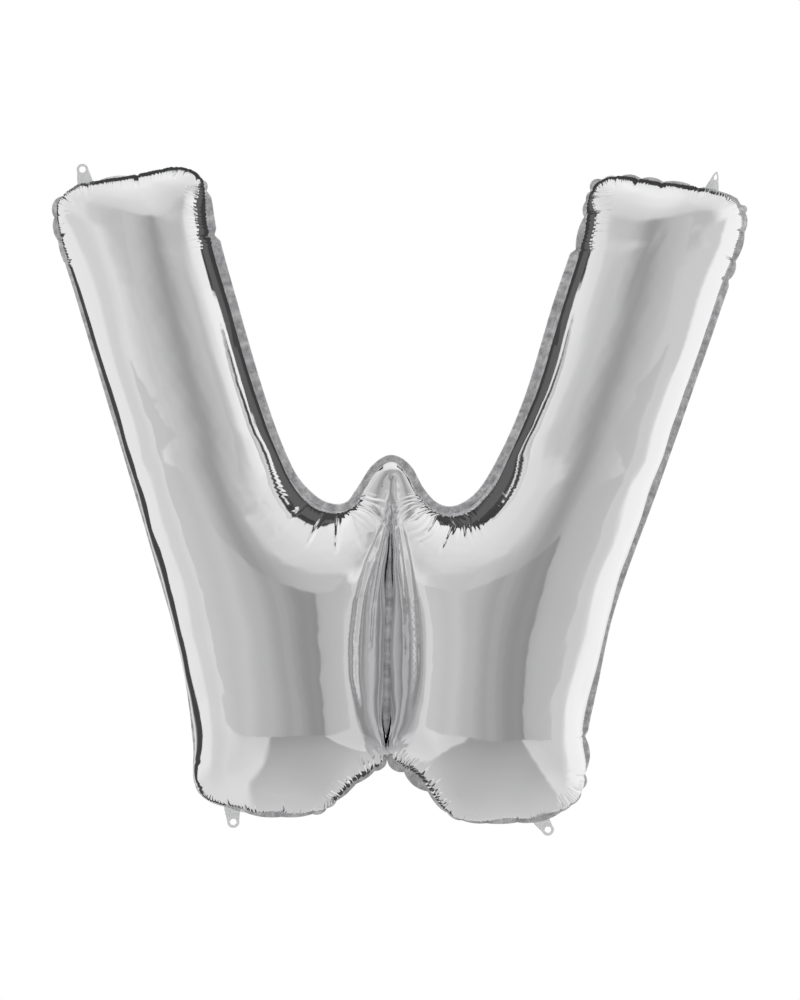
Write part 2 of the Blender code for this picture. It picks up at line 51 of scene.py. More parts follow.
import bpy
import numpy as np
from mathutils import Vector
from mathutils.bvhtree import BVHTree
from mathutils.geometry import delaunay_2d_cdt
from mathutils.kdtree import KDTree

MM = 0.001
ROOT = "root"
# Bands that the wave texture draws over one unit of length, at a scale of 1.
BANDS_TO_UNIT = 3.183
Array = np.ndarray
Pair = tuple[float, float]
log = logging.getLogger("balloon")

# The blown seam, as in the CAD source. Columns: x, z.
SEAM = (
    (-475, 396), (-472, 410), (-461, 419), (-418, 435), (-367, 443), (-316, 452),
    (-288, 449), (-276, 439), (-269, 416), (-262, 374), (-236, 277), (-195, 138),
    (-170, 69), (-150, 28), (-130, 5), (-109, -10), (-87, -15), (-68, -10),
    (-50, 14), (-30, 43), (-12, 53), (6, 43), (25, 11), (44, -10),
    (65, -18), (87, -14), (114, 6), (144, 54), (179, 133), (222, 273),
    (248, 350), (259, 393), (263, 418), (280, 439), (307, 443), (335, 441),
    (409, 428), (461, 412), (474, 399), (474, 374), (443, 281), (357, 35),
    (290, -152), (267, -256), (253, -325), (253, -356), (247, -403), (231, -423),
    (195, -438), (138, -444), (90, -441), (66, -429), (36, -396), (0, -368),
    (-18, -356), (-39, -374), (-68, -394), (-104, -424), (-134, -434), (-187, -434),
    (-228, -425), (-269, -407), (-281, -393), (-284, -335), (-300, -222), (-342, -68),
    (-445, 277), (-470, 360),
)

# The cut of the flat film before it is blown up. Columns: x, z.
FLAT_CUT = (
    (-533, 428), (-524, 468), (-494, 499), (-446, 516), (-380, 527), (-318, 529),
    (-284, 513), (-264, 482), (-256, 432), (-232, 352), (-195, 231), (-158, 110),
    (-144, 72), (-124, 42), (-98, 30), (-72, 44), (-50, 74), (-31, 98), (-11, 106),
    (9, 98), (30, 72), (53, 40), (80, 27), (108, 40), (132, 70), (150, 110),
    (182, 211), (213, 309), (250, 427), (260, 476), (282, 509), (322, 524),
    (400, 519), (470, 503), (510, 476), (528, 440), (526, 396), (494, 262),
    (453, 95), (413, -71), (382, -200), (355, -310), (348, -372), (328, -418),
    (300, -442), (262, -456), (215, -464), (165, -464), (116, -460), (80, -438),
    (40, -388), (-2, -352), (-48, -384), (-96, -434), (-135, -450), (-190, -456),
    (-245, -456), (-308, -442), (-346, -418), (-366, -380), (-376, -325), (-402, -200),
    (-429, -71), (-463, 90), (-496, 250), (-523, 380),
)

# Where a place on the flat cut comes to lie when blown. Columns: flat x, z, blown x, z.
LANDMARKS = (
    (-524, 468, -468, 413), (-278, 506, -281, 443), (-248, 404, -259, 362),
    (-98, 30, -88, -15), (-11, 106, -12, 53), (80, 27, 66, -18), (242, 399, 247, 343),
    (264, 486, 266, 427), (522, 460, 470, 404), (506, 307, 448, 290),
    (354, -319, 253, -327), (325, -422, 243, -408), (82, -440, 66, -427),
    (-2, -352, -18, -356), (-98, -436, -104, -422), (-356, -408, -276, -397),
    (-374, -335, -280, -345), (-510, 319, -450, 300),
)

# Where the puckered seam is pinched between the lenses of the flange.
# Columns: x, z, widest reach of the flange from here to the next, going anticlockwise.
CUSPS = (
    (-463, 418, 8.0), (-424, 434, 7.0), (-366, 442, 9.8), (-317, 452, 8.3), (-299, 451, 5.5),
    (-277, 442, 7.1), (-274, 427, 7.6), (-260, 366, 8.0), (248, 346, 9.5), (260, 391, 7.7),
    (262, 413, 7.4), (266, 427, 6.0), (281, 441, 11.0), (303, 443, 7.2), (334, 442, 7.8),
    (363, 434, 7.6), (410, 428, 8.4), (471, 407, 8.0), (476, 397, 9.0), (474, 371, 6.1),
    (461, 332, 6.2), (453, 306, 7.8), (251, -327, 7.0), (249, -378, 10.0), (248, -400, 8.7),
    (233, -418, 6.0), (222, -429, 5.0), (162, -440, 7.0), (120, -442, 5.0), (87, -439, 4.5),
    (69, -428, 6.0), (43, -399, 6.2), (6, -376, 10.5), (-18, -360, 10.3), (-36, -374, 9.4),
    (-64, -388, 5.3), (-89, -415, 6.0), (-104, -423, 6.0), (-122, -431, 7.5), (-165, -430, 4.0),
    (-213, -427, 5.0), (-235, -418, 5.0), (-280, -395, 6.0), (-278, -360, 3.0), (-458, 330, 2.8),
    (-470, 360, 4.8), (-474, 391, 7.2),
)

# Stretches of seam with fine pleats across them. Columns: from x, z, to x, z
# going anticlockwise, pitch, length as seen from the front, height.
PLEATS = (
    (-288, 449, -475, 396, 3.4, 13, 0.95),
    (-475, 396, -452, 318, 3.4, 12, 0.95),
    (-257, 345, -276, 439, 4.4, 34, 0.60),
    (-44, 12, -94, -12, 5.2, 64, 0.90),
    (-94, -12, -168, 60, 5.2, 60, 0.14),
    (96, 2, 22, 14, 4.8, 60, 1.00),
    (150, 60, 96, 2, 5.0, 50, 0.14),
    (280, 439, 246, 338, 4.4, 34, 0.60),
    (474, 399, 280, 439, 3.6, 14, 0.95),
    (452, 312, 474, 399, 3.6, 11, 0.60),
    (69, -428, 250, -395, 4.4, 22, 1.10),
    (-12, -360, 66, -427, 5.0, 25, 1.90),
    (-122, -430, -22, -360, 6.4, 28, 2.10),
    (-276, -399, -122, -430, 4.4, 15, 0.80),
    (250, -395, 262, -270, 3.8, 10, 0.50),
)

# Long creases in the film, seen from the front. Columns: width, depth, and the places x, z
# they pass through.
CREASES = (
    (2.4, 1.6, ((-130, -6), (-178, -57))), (2.4, 1.7, ((-105, -20), (-130, -68))),
    (2.8, 2.1, ((-84, -18), (-87, -79))), (2.6, 1.6, ((-70, -16), (-50, -72))),
    (3.4, 2.2, ((-42, -8), (-11, -42))), (2.2, 0.8, ((-183, 0), (-212, -28))),
    (2.2, 0.8, ((-177, -6), (-206, -31))), (2.2, 0.7, ((-170, -12), (-199, -36))),
    (2.6, 1.5, ((72, -28), (51, -78))), (2.4, 1.3, ((50, -18), (25, -66))),
    (3.4, 2.2, ((29, -6), (0, -40))), (2.0, 0.8, ((87, -35), (86, -56))),
    (1.6, 1.2, ((-17, -40), (-28, -95), (-36, -150), (-40, -205), (-38, -260))),
    (3.0, 2.2, ((-21, -30), (-44, -85), (-57, -140), (-63, -190), (-63, -240), (-54, -290), (-38, -322))),
    (1.6, 1.2, ((-3, -40), (4, -95), (8, -150), (9, -205), (6, -260))),
    (3.0, 2.2, ((1, -30), (12, -85), (19, -140), (22, -190), (22, -240), (14, -290), (2, -322))),
    (2.2, 1.0, ((-194, -397), (-133, -414))), (2.2, 1.0, ((69, -427), (120, -429))),
    (3.0, 0.6, ((361, 370), (330, 320), (300, 250))), (2.2, 0.9, ((404, 373), (398, 355))),
    (2.2, 0.9, ((446, 366), (440, 350))),
)

# The hanging tabs. Columns: CAD node, root x, z, hole x, z, neck width, foot width,
# hole diameter, twist in degrees, bend towards the back.
TABS = (
    ("tab_top_left", -434, 430, -440, 458, 16.0, 24.0, 9.0, 6.0, 1.5),
    ("tab_top_right", 430, 423, 437, 447, 16.0, 22.0, 8.0, 52.0, -1.0),
    ("tab_bottom_left", -233, -420, -231, -446, 17.0, 24.0, 9.0, -5.0, 1.5),
    ("tab_bottom_right", 190, -435, 205, -457, 17.0, 26.0, 9.0, 8.0, 2.5),
)

# Places on the straight edges of each arm's flat cut: two on its outer edge, two on its inner edge.
ARMS = (
    (((-376, -325), (-523, 380)), ((-158, 110), (-256, 432))),
    (((355, -310), (526, 396)), ((150, 110), (250, 427))),
)

def linear(code: str) -> tuple[float, ...]:
    """Turn an sRGB hex colour to linear.

    Args:
        code: Six hex digits, such as "C8C8CA".

    Returns:
        Red, green and blue from 0 to 1, and an alpha of 1.
    """
    parts = [int(code[i : i + 2], 16) / 255 for i in (0, 2, 4)]
    return (*(c / 12.92 if c <= 0.04045 else ((c + 0.055) / 1.055) ** 2.4 for c in parts), 1.0)


def add_node(tree: bpy.types.NodeTree, kind: str, inputs: dict[Any, Any], **settings: Any) -> bpy.types.Node:
    """Add one node, with what feeds it and its settings.

    Args:
        tree: The node tree that the node joins.
        kind: The node's type.
        inputs: For each input, a value or the output socket that feeds it.
        **settings: Attributes of the node.

    Returns:
        The node.
    """
    node = tree.nodes.new(kind)
    for name, value in settings.items():
        setattr(node, name, value)
    for name, value in inputs.items():
        if isinstance(value, bpy.types.NodeSocket):
            tree.links.new(value, node.inputs[name])
        else:
            node.inputs[name].default_value = value
    return node


def new_material(name: str) -> tuple[bpy.types.Material, bpy.types.NodeTree]:
    """Start a material with an empty tree.

    Args:
        name: The material's name.

    Returns:
        The material and its node tree.
    """
    made = bpy.data.materials.new(name)
    made.use_nodes = True
    made.node_tree.nodes.clear()
    return made, made.node_tree


@dataclass(frozen=True)
class MetallisedFilm:
    """Polyester film, vacuum-metallised with aluminium and drawn tight by the gas.

    It gives the eye a near mirror, softened a little by the sealing layer under the metal.
    """

    name: str = "metallised_polyester_film"
    colour: str = "F2F2F3"
    roughness: float = 0.075
    roughness_spread: float = 0.03
    ripple_mm: float = 26.0
    ripple_depth_mm: float = 2.0
    ripple_strength: float = 0.018

    def make(self) -> bpy.types.Material:
        """Build the film's material, with a faint ripple and cloudy gloss."""
        made, tree = new_material(self.name)
        place = add_node(tree, "ShaderNodeTexCoord", {}).outputs["Object"]
        scale = 1 / (self.ripple_mm * MM)
        cloud = add_node(tree, "ShaderNodeTexNoise", {"Vector": place, "Scale": scale, "Detail": 2.0})
        gloss = add_node(tree, "ShaderNodeMapRange", {
            "Value": cloud.outputs["Fac"],
            "To Min": self.roughness - self.roughness_spread,
            "To Max": self.roughness + self.roughness_spread,
        })
        bump = add_node(tree, "ShaderNodeBump", {
            "Height": cloud.outputs["Fac"],
            "Strength": self.ripple_strength,
            "Distance": self.ripple_depth_mm * MM,
        })
        shader = add_node(tree, "ShaderNodeBsdfPrincipled", {
            "Base Color": linear(self.colour),
            "Metallic": 1.0,
            "Roughness": gloss.outputs["Result"],
            "Normal": bump.outputs["Normal"],
        })
        add_node(tree, "ShaderNodeOutputMaterial", {"Surface": shader.outputs["BSDF"]})
        return made


@dataclass(frozen=True)
class HeatSealedFilm:
    """The two films welded face to face between knurled bars.

    The bars' crossed ribs leave the metal dull, with a fine diamond grain whose grooves are darkened
    with painted shade, over a tone mottled at random. Ribs as fine as the real ones wouldn't show,
    so they are drawn coarser.
    """

    name: str = "heat_sealed_film"
    # The tone runs from dark to light: mottled at random, and darker in the ribs' grooves as painted shade.
    light: str = "F4F4F5"
    dark: str = "9C9CA0"
    roughness: float = 0.30
    rib_mm: float = 1.5
    rib_waver: float = 0.6
    # How much of the tone follows the ribs, as painted shade in their grooves.
    groove_shade_share: float = 0.4
    depth_mm: float = 0.22
    grain_mm: float = 11.0
    grain_range: Pair = (0.25, 0.75)
    crumple_mm: float = 6.0
    crumple_depth_mm: float = 2.5

    def make(self) -> bpy.types.Material:
        """Build the weld's material: ribs crossing at 45 degrees, with painted shade in their grooves, over a
        mottled ground.
        """
        made, tree = new_material(self.name)
        place = add_node(tree, "ShaderNodeTexCoord", {}).outputs["Object"]
        rib_scale = 1 / (self.rib_mm * MM) / BANDS_TO_UNIT
        ribs = []
        for turn in (45, -45):
            turned = {"Vector": place, "Rotation": (0, math.radians(turn), 0)}
            bands = {
                "Vector": add_node(tree, "ShaderNodeMapping", turned).outputs[0],
                "Scale": rib_scale,
                "Distortion": self.rib_waver,
            }
            rib = add_node(
                tree, "ShaderNodeTexWave", bands, wave_type="BANDS", bands_direction="X", wave_profile="TRI"
            )
            ribs.append(rib.outputs["Fac"])
        crossed = add_node(tree, "ShaderNodeMath", {0: ribs[0], 1: ribs[1]}, operation="MULTIPLY").outputs[0]
        scale = 1 / (self.grain_mm * MM)
        grain = add_node(tree, "ShaderNodeTexNoise", {"Vector": place, "Scale": scale, "Detail": 3.0})
        patches = add_node(tree, "ShaderNodeMapRange", {
            "Value": grain.outputs["Fac"],
            "From Min": self.grain_range[0],
            "From Max": self.grain_range[1],
        })
        # The tone is painted shade in the ribs' grooves, darker where the bump is low, plus mottling that
        # differs at random.
        ground = {0: crossed, 1: self.groove_shade_share, 2: patches.outputs["Result"]}
        mixed = add_node(tree, "ShaderNodeMath", ground, operation="MULTIPLY_ADD").outputs[0]
        tone = add_node(tree, "ShaderNodeMixRGB", {0: mixed, 1: linear(self.dark), 2: linear(self.light)})
        scale = 1 / (self.crumple_mm * MM)
        crumple = add_node(tree, "ShaderNodeTexNoise", {"Vector": place, "Scale": scale, "Detail": 2.0})
        folds = add_node(tree, "ShaderNodeBump", {
            "Height": crumple.outputs["Fac"],
            "Strength": 0.8,
            "Distance": self.crumple_depth_mm * MM,
        })
        bump = add_node(tree, "ShaderNodeBump", {
            "Height": crossed,
            "Strength": 0.7,
            "Distance": self.depth_mm * MM,
            "Normal": folds.outputs["Normal"],
        })
        shader = add_node(tree, "ShaderNodeBsdfPrincipled", {
            "Base Color": tone.outputs[0],
            "Metallic": 1.0,
            "Roughness": self.roughness,
            "Normal": bump.outputs["Normal"],
        })
        add_node(tree, "ShaderNodeOutputMaterial", {"Surface": shader.outputs["BSDF"]})
        return made


@dataclass(frozen=True)
class ClearTabFilm:
    """Clear polyester film, die-cut into hanging tabs: glossy, greyish where it turns."""

    name: str = "clear_polyester_tab"
    colour: str = "DCDDDE"
    roughness: float = 0.22
    # How much of what is behind it the film covers, at least and at most.
    cover: Pair = (0.38, 0.66)
    haze_mm: float = 6.0
    haze_depth_mm: float = 1.0

    def make(self) -> bpy.types.Material:
        """Build the tab's material, with faint haze where the film was handled."""
        made, tree = new_material(self.name)
        place = add_node(tree, "ShaderNodeTexCoord", {}).outputs["Object"]
        scale = 1 / (self.haze_mm * MM)
        cloud = {"Vector": place, "Scale": scale, "Detail": 3.0}
        haze = add_node(tree, "ShaderNodeTexNoise", cloud).outputs["Fac"]
        cover = {"Value": haze, "To Min": self.cover[0], "To Max": self.cover[1]}
        bump = {"Height": haze, "Strength": 0.15, "Distance": self.haze_depth_mm * MM}
        shader = add_node(tree, "ShaderNodeBsdfPrincipled", {
            "Base Color": linear(self.colour),
            "Roughness": self.roughness,
            "Alpha": add_node(tree, "ShaderNodeMapRange", cover).outputs["Result"],
            "Normal": add_node(tree, "ShaderNodeBump", bump).outputs["Normal"],
        })
        add_node(tree, "ShaderNodeOutputMaterial", {"Surface": shader.outputs["BSDF"]})
        return made


def cross(a: Array, b: Array) -> Array:
    """Twice the area between pairs of vectors in the plane, positive where b is to the left."""
    return a[:, 0] * b[:, 1] - a[:, 1] * b[:, 0]


def spanned(points: Array, faces: Array) -> Array:
    """Twice the area of triangles in the plane, positive where they run anticlockwise."""
    a, b, c = (points[faces[:, k]] for k in range(3))
    return cross(b - a, c - a)


def unit(vectors: Array) -> Array:
    """The vectors at a length of 1."""
    return vectors / np.maximum(np.linalg.norm(vectors, axis=1), 1e-12)[:, None]


def sides_of(faces: Array) -> Array:
    """The three sides of each triangle, each with its lower point first."""
    return np.sort(np.concatenate([faces[:, [0, 1]], faces[:, [1, 2]], faces[:, [2, 0]]]), 1)


def gathered(index: Array, values: Array, count: int) -> Array:
    """Add up vectors by the point that each belongs to."""
    return np.stack([np.bincount(index, values[:, k], count) for k in range(3)], 1)


def straight(start: Pair, end: Pair) -> tuple[Array, float, Array, Array]:
    """Measure a straight run.

    Args:
        start: Where it starts.
        end: Where it ends.

    Returns:
        Its start, its length, and the directions along it and across it.
    """
    first, last = np.array(start), np.array(end)
    length = np.linalg.norm(last - first)
    along = (last - first) / length
    return first, length, along, np.array([-along[1], along[0]])


def wrapped(count: int, rings: int) -> Array:
    """Quads that close two layers of rings to one thin body.

    Args:
        count: The points in each ring.
        rings: The rings in each layer.

    Returns:
        The corners of the quads. The second layer's rings follow the first's.
    """
    i = np.arange(count)
    j = (i + 1) % count
    order = [*range(rings), *range(2 * rings - 1, rings - 1, -1)]
    pairs = zip(order, order[1:] + order[:1])
    quads = [np.stack([a * count + i, b * count + i, b * count + j, a * count + j], 1) for a, b in pairs]
    return np.vstack(quads)


def stations(ring: Array) -> tuple[Array, float]:
    """Measure along a closed ring.

    Args:
        ring: Points of the ring, in order.

    Returns:
        The distance along the ring at each point, and its whole length.
    """
    steps = np.linalg.norm(np.roll(ring, -1, axis=0) - ring, axis=1)
    return np.concatenate([[0.0], np.cumsum(steps)[:-1]]), float(steps.sum())


def outward(ring: Array) -> Array:
    """Unit normals of an anticlockwise ring, pointing away from what it encloses."""
    along = unit(np.roll(ring, -1, axis=0) - np.roll(ring, 1, axis=0))
    return np.stack([along[:, 1], -along[:, 0]], axis=1)


def inside(points: Array, ring: Array, batch: int = 4000) -> Array:
    """Tell which points lie inside a closed ring.

    Args:
        points: Points to test, two columns.
        ring: The ring's points.
        batch: How many points are tested at once.

    Returns:
        True or False for each point.
    """
    x1, z1 = np.roll(ring, -1, axis=0).T[:, None]
    x0, z0 = ring.T[:, None]
    rise = np.where(z1 == z0, 1e-9, z1 - z0)
    found = []
    for start in range(0, len(points), batch):
        x, z = points[start : start + batch].T[:, :, None]
        left = x < (x1 - x0) * (z - z0) / rise + x0
        found.append(np.sum(((z0 > z) != (z1 > z)) & left, axis=1) % 2 == 1)
    return np.concatenate(found)


def softened(values: Array, reach: int) -> Array:
    """Values round a closed ring, averaged with their neighbours up to reach away.

    Args:
        values: One value for each point of the ring.
        reach: How many neighbours on each side count.

    Returns:
        The averaged values.
    """
    weights = np.exp(-((np.arange(-reach, reach + 1) / (0.5 * reach)) ** 2))
    padded = np.concatenate([values[-reach:], values, values[:reach]])
    return np.convolve(padded, weights / weights.sum(), "valid")


def smoothstep(low: float, high: float, value: Array) -> Array:
    """A soft step from 0 at low to 1 at high."""
    t = np.clip((value - low) / (high - low), 0, 1)
    return t * t * (3 - 2 * t)


class ClosedLine:
    """A smooth closed line through a few knots, measured by its length."""

    def __init__(self, knots: Sequence[Pair], step: float = 1.0) -> None:
        """Draw the line.

        Args:
            knots: Points that the line runs through.
            step: Distance between the points that it is read at.
        """
        knots = np.array(knots, float)
        points = []
        for i in range(len(knots)):
            p = [knots[(i + k - 1) % len(knots)] for k in range(4)]
            t = [0.0]
            for a, b in zip(p, p[1:]):
                t.append(t[-1] + math.sqrt(np.linalg.norm(b - a)))
            count = max(2, round(np.linalg.norm(p[2] - p[1]) / step))
            s = np.linspace(t[1], t[2], count, endpoint=False)[:, None]
            a1 = (p[0] * (t[1] - s) + p[1] * (s - t[0])) / (t[1] - t[0])
            a2 = (p[1] * (t[2] - s) + p[2] * (s - t[1])) / (t[2] - t[1])
            a3 = (p[2] * (t[3] - s) + p[3] * (s - t[2])) / (t[3] - t[2])
            b1 = (a1 * (t[2] - s) + a2 * (s - t[0])) / (t[2] - t[0])
            b2 = (a2 * (t[3] - s) + a3 * (s - t[1])) / (t[3] - t[1])
            points.append((b1 * (t[2] - s) + b2 * (s - t[1])) / (t[2] - t[1]))
        ring = np.vstack(points)
        turned = cross(ring, np.roll(ring, -1, axis=0)).sum() < 0
        self.ring: Array = ring[::-1] if turned else ring
        self.at, self.whole = stations(self.ring)
        self.normals: Array = outward(self.ring)

    def nearest(self, point: Sequence[float]) -> float:
        """Distance along the line of its point nearest to the one given."""
        return float(self.at[np.argmin(np.linalg.norm(self.ring - np.array(point[:2]), axis=1))])

    def read(self, at: Array) -> tuple[Array, Array]:
        """Read the line at distances along it.

        Args:
            at: Distances, in any lap.

        Returns:
            The points and the outward normals there.
        """
        places = np.append(self.at, self.whole)
        found = []
        for values in (self.ring, self.normals):
            closed = np.vstack([values, values[:1]])
            found.append(np.stack([np.interp(at % self.whole, places, closed[:, k]) for k in (0, 1)], 1))
        return found[0], unit(found[1])

    def bend(self, reach: int = 12) -> Array:
        """Signed curvature at the line's points, positive where it turns left.

        Args:
            reach: How many points before and after are looked at.

        Returns:
            One over the radius, in millimetres.
        """
        before = self.ring - np.roll(self.ring, reach, axis=0)
        after = np.roll(self.ring, -reach, axis=0) - self.ring
        turn = np.arctan2(cross(before, after), np.sum(before * after, axis=1))
        return turn / np.linalg.norm(before, axis=1)

    def spaced(self, spacing: Array) -> Array:
        """Distances along the line, as far apart as spacing says at each of its points.

        Args:
            spacing: The spacing wanted at each point.

        Returns:
            The distances, in order.
        """
        density = 1 / np.append(spacing, spacing[0])
        places = np.append(self.at, self.whole)
        grown = np.concatenate([[0.0], np.cumsum(0.5 * (density[1:] + density[:-1]) * np.diff(places))])
        count = int(math.ceil(grown[-1]))
        return np.interp(np.arange(count) * grown[-1] / count, grown, places)


class Carry:
    """Takes a distance along the flat cut to the distance along the blown seam."""

    def __init__(self, flat: ClosedLine, blown: ClosedLine) -> None:
        """Pair the two lines at the landmarks.

        Args:
            flat: The edge of the flat cut.
            blown: The blown seam.
        """
        pairs = sorted((flat.nearest(row[:2]), blown.nearest(row[2:])) for row in LANDMARKS)
        start, end = (list(values) for values in zip(*pairs))
        for i in range(1, len(end)):
            while end[i] < end[i - 1]:
                end[i] += blown.whole
        self.flat = np.array([start[-1] - flat.whole, *start, start[0] + flat.whole])
        self.blown = np.array([end[-1] - blown.whole, *end, end[0] + blown.whole])

    def __call__(self, at: Array) -> Array:
        """The distance along the blown seam for each distance along the flat cut."""
        return np.interp(at, self.flat, self.blown)


@dataclass
class WeldLine:
    """The weld down the middle: a straight strip with round ends."""

    flat_top: Pair = (-11.0, 68.0)
    flat_foot: Pair = (-9.0, -308.0)
    blown_top: Pair = (-11.0, 28.0)
    blown_foot: Pair = (-20.0, -322.0)
    width: float = 8.0
    # How far the films stand apart over the weld. Columns: distance down it, share of its width.
    open_share: tuple[Pair, ...] = ((0.0, 0.10), (95.0, 0.10), (140.0, 0.45), (330.0, 0.50), (352.0, 0.15))

    def ring(self, step: float) -> Array:
        """The flat strip's outline, anticlockwise, with points a step apart.

        Args:
            step: Distance between points on its straight sides.

        Returns:
            The outline's points.
        """
        top, length, along, across = straight(self.flat_top, self.flat_foot)
        foot = np.array(self.flat_foot)
        half = self.width / 2
        count = max(2, round(length / step))
        turns = np.linspace(0, math.pi, 7)[1:-1, None]
        side = np.linspace(0, 1, count)[:, None]
        return np.vstack([
            top + (foot - top) * side - across * half,
            foot - across * half * np.cos(turns) + along * half * np.sin(turns),
            foot + (top - foot) * side + across * half,
            top + across * half * np.cos(turns) - along * half * np.sin(turns),
        ])

    def carried(self, points: Array) -> Array:
        """Where points of the flat weld come to lie when blown.

        Args:
            points: Places on the flat cut.

        Returns:
            Their places in the blown balloon, seen from the front.
        """
        top, length, along, across = straight(self.flat_top, self.flat_foot)
        new_top, new_length, new_along, new_across = straight(self.blown_top, self.blown_foot)
        down = (points - top) @ along
        stretched = down * new_length / length
        aside = (points - top) @ across * np.interp(stretched, *zip(*self.open_share))
        down = np.where(down > length, new_length + down - length, np.where(down > 0, stretched, down))
        return new_top + down[:, None] * new_along + aside[:, None] * new_across


def triangulated(
    points: Array, rings: Sequence[int], wanted: Callable[[Array], Array]
) -> tuple[Array, Array]:
    """Join points by triangles that keep the rings' edges.

    Args:
        points: All points, the rings' first, two columns.
        rings: The number of points in each ring.
        wanted: Tells for triangles' middles which are kept.

    Returns:
        The points and the triangles, anticlockwise.
    """
    edges = []
    start = 0
    for count in rings:
        edges += [(start + i, start + (i + 1) % count) for i in range(count)]
        start += count
    found = delaunay_2d_cdt([Vector(p) for p in points], edges, [], 0, 1e-5)
    where = np.array([v[:] for v in found[0]])
    faces = np.array([f for f in found[2] if len(f) == 3])
    turned = spanned(where, faces)
    faces[turned < 0] = faces[turned < 0][:, ::-1]
    return where, faces[wanted(where[faces].mean(1)) & (np.abs(turned) > 1e-6)]


def nearest_of(points: Array, others: Array) -> tuple[Array, Array]:
    """Find the nearest of some other points to each point.

    Args:
        points: Points to start from, two columns.
        others: Points to look among.

    Returns:
        The distance and the index of the nearest.
    """
    tree = KDTree(len(others))
    for i, other in enumerate(others):
        tree.insert((other[0], other[1], 0), i)
    tree.balance()
    found = [tree.find((p[0], p[1], 0)) for p in points]
    return np.array([f[2] for f in found]), np.array([f[1] for f in found])


def hexagonal(low: Array, high: Array, spacing: float) -> Array:
    """Points of an even triangular grid over a rectangle.

    Args:
        low: The rectangle's lowest corner.
        high: Its highest corner.
        spacing: Distance between neighbours.

    Returns:
        The points.
    """
    rows = []
    for j, z in enumerate(np.arange(low[1], high[1], spacing * 0.866)):
        x = np.arange(low[0] + (j % 2) * spacing / 2, high[0], spacing)
        rows.append(np.stack([x, np.full(len(x), z)], 1))
    return np.vstack(rows)


def faired(place: Array, faces: Array, held: Array, rounds: int) -> Array:
    """Take small waves out of a mesh without shrinking it.

    Args:
        place: The points' places in space.
        faces: The mesh's triangles.
        held: Points that stay.
        rounds: How often it is smoothed; each round pulls in and pushes back out.

    Returns:
        The new places.
    """
    edges = np.unique(sides_of(faces), axis=0)
    ends, others = np.concatenate([edges, edges[:, ::-1]]).T
    neighbours = np.maximum(np.bincount(ends, minlength=len(place)), 1)[:, None]
    place = place.copy()
    fixed = place[held].copy()
    for _ in range(rounds):
        for step in (0.5, -0.52):
            place += (gathered(ends, place[others], len(place)) / neighbours - place) * step
            place[held] = fixed
    return place


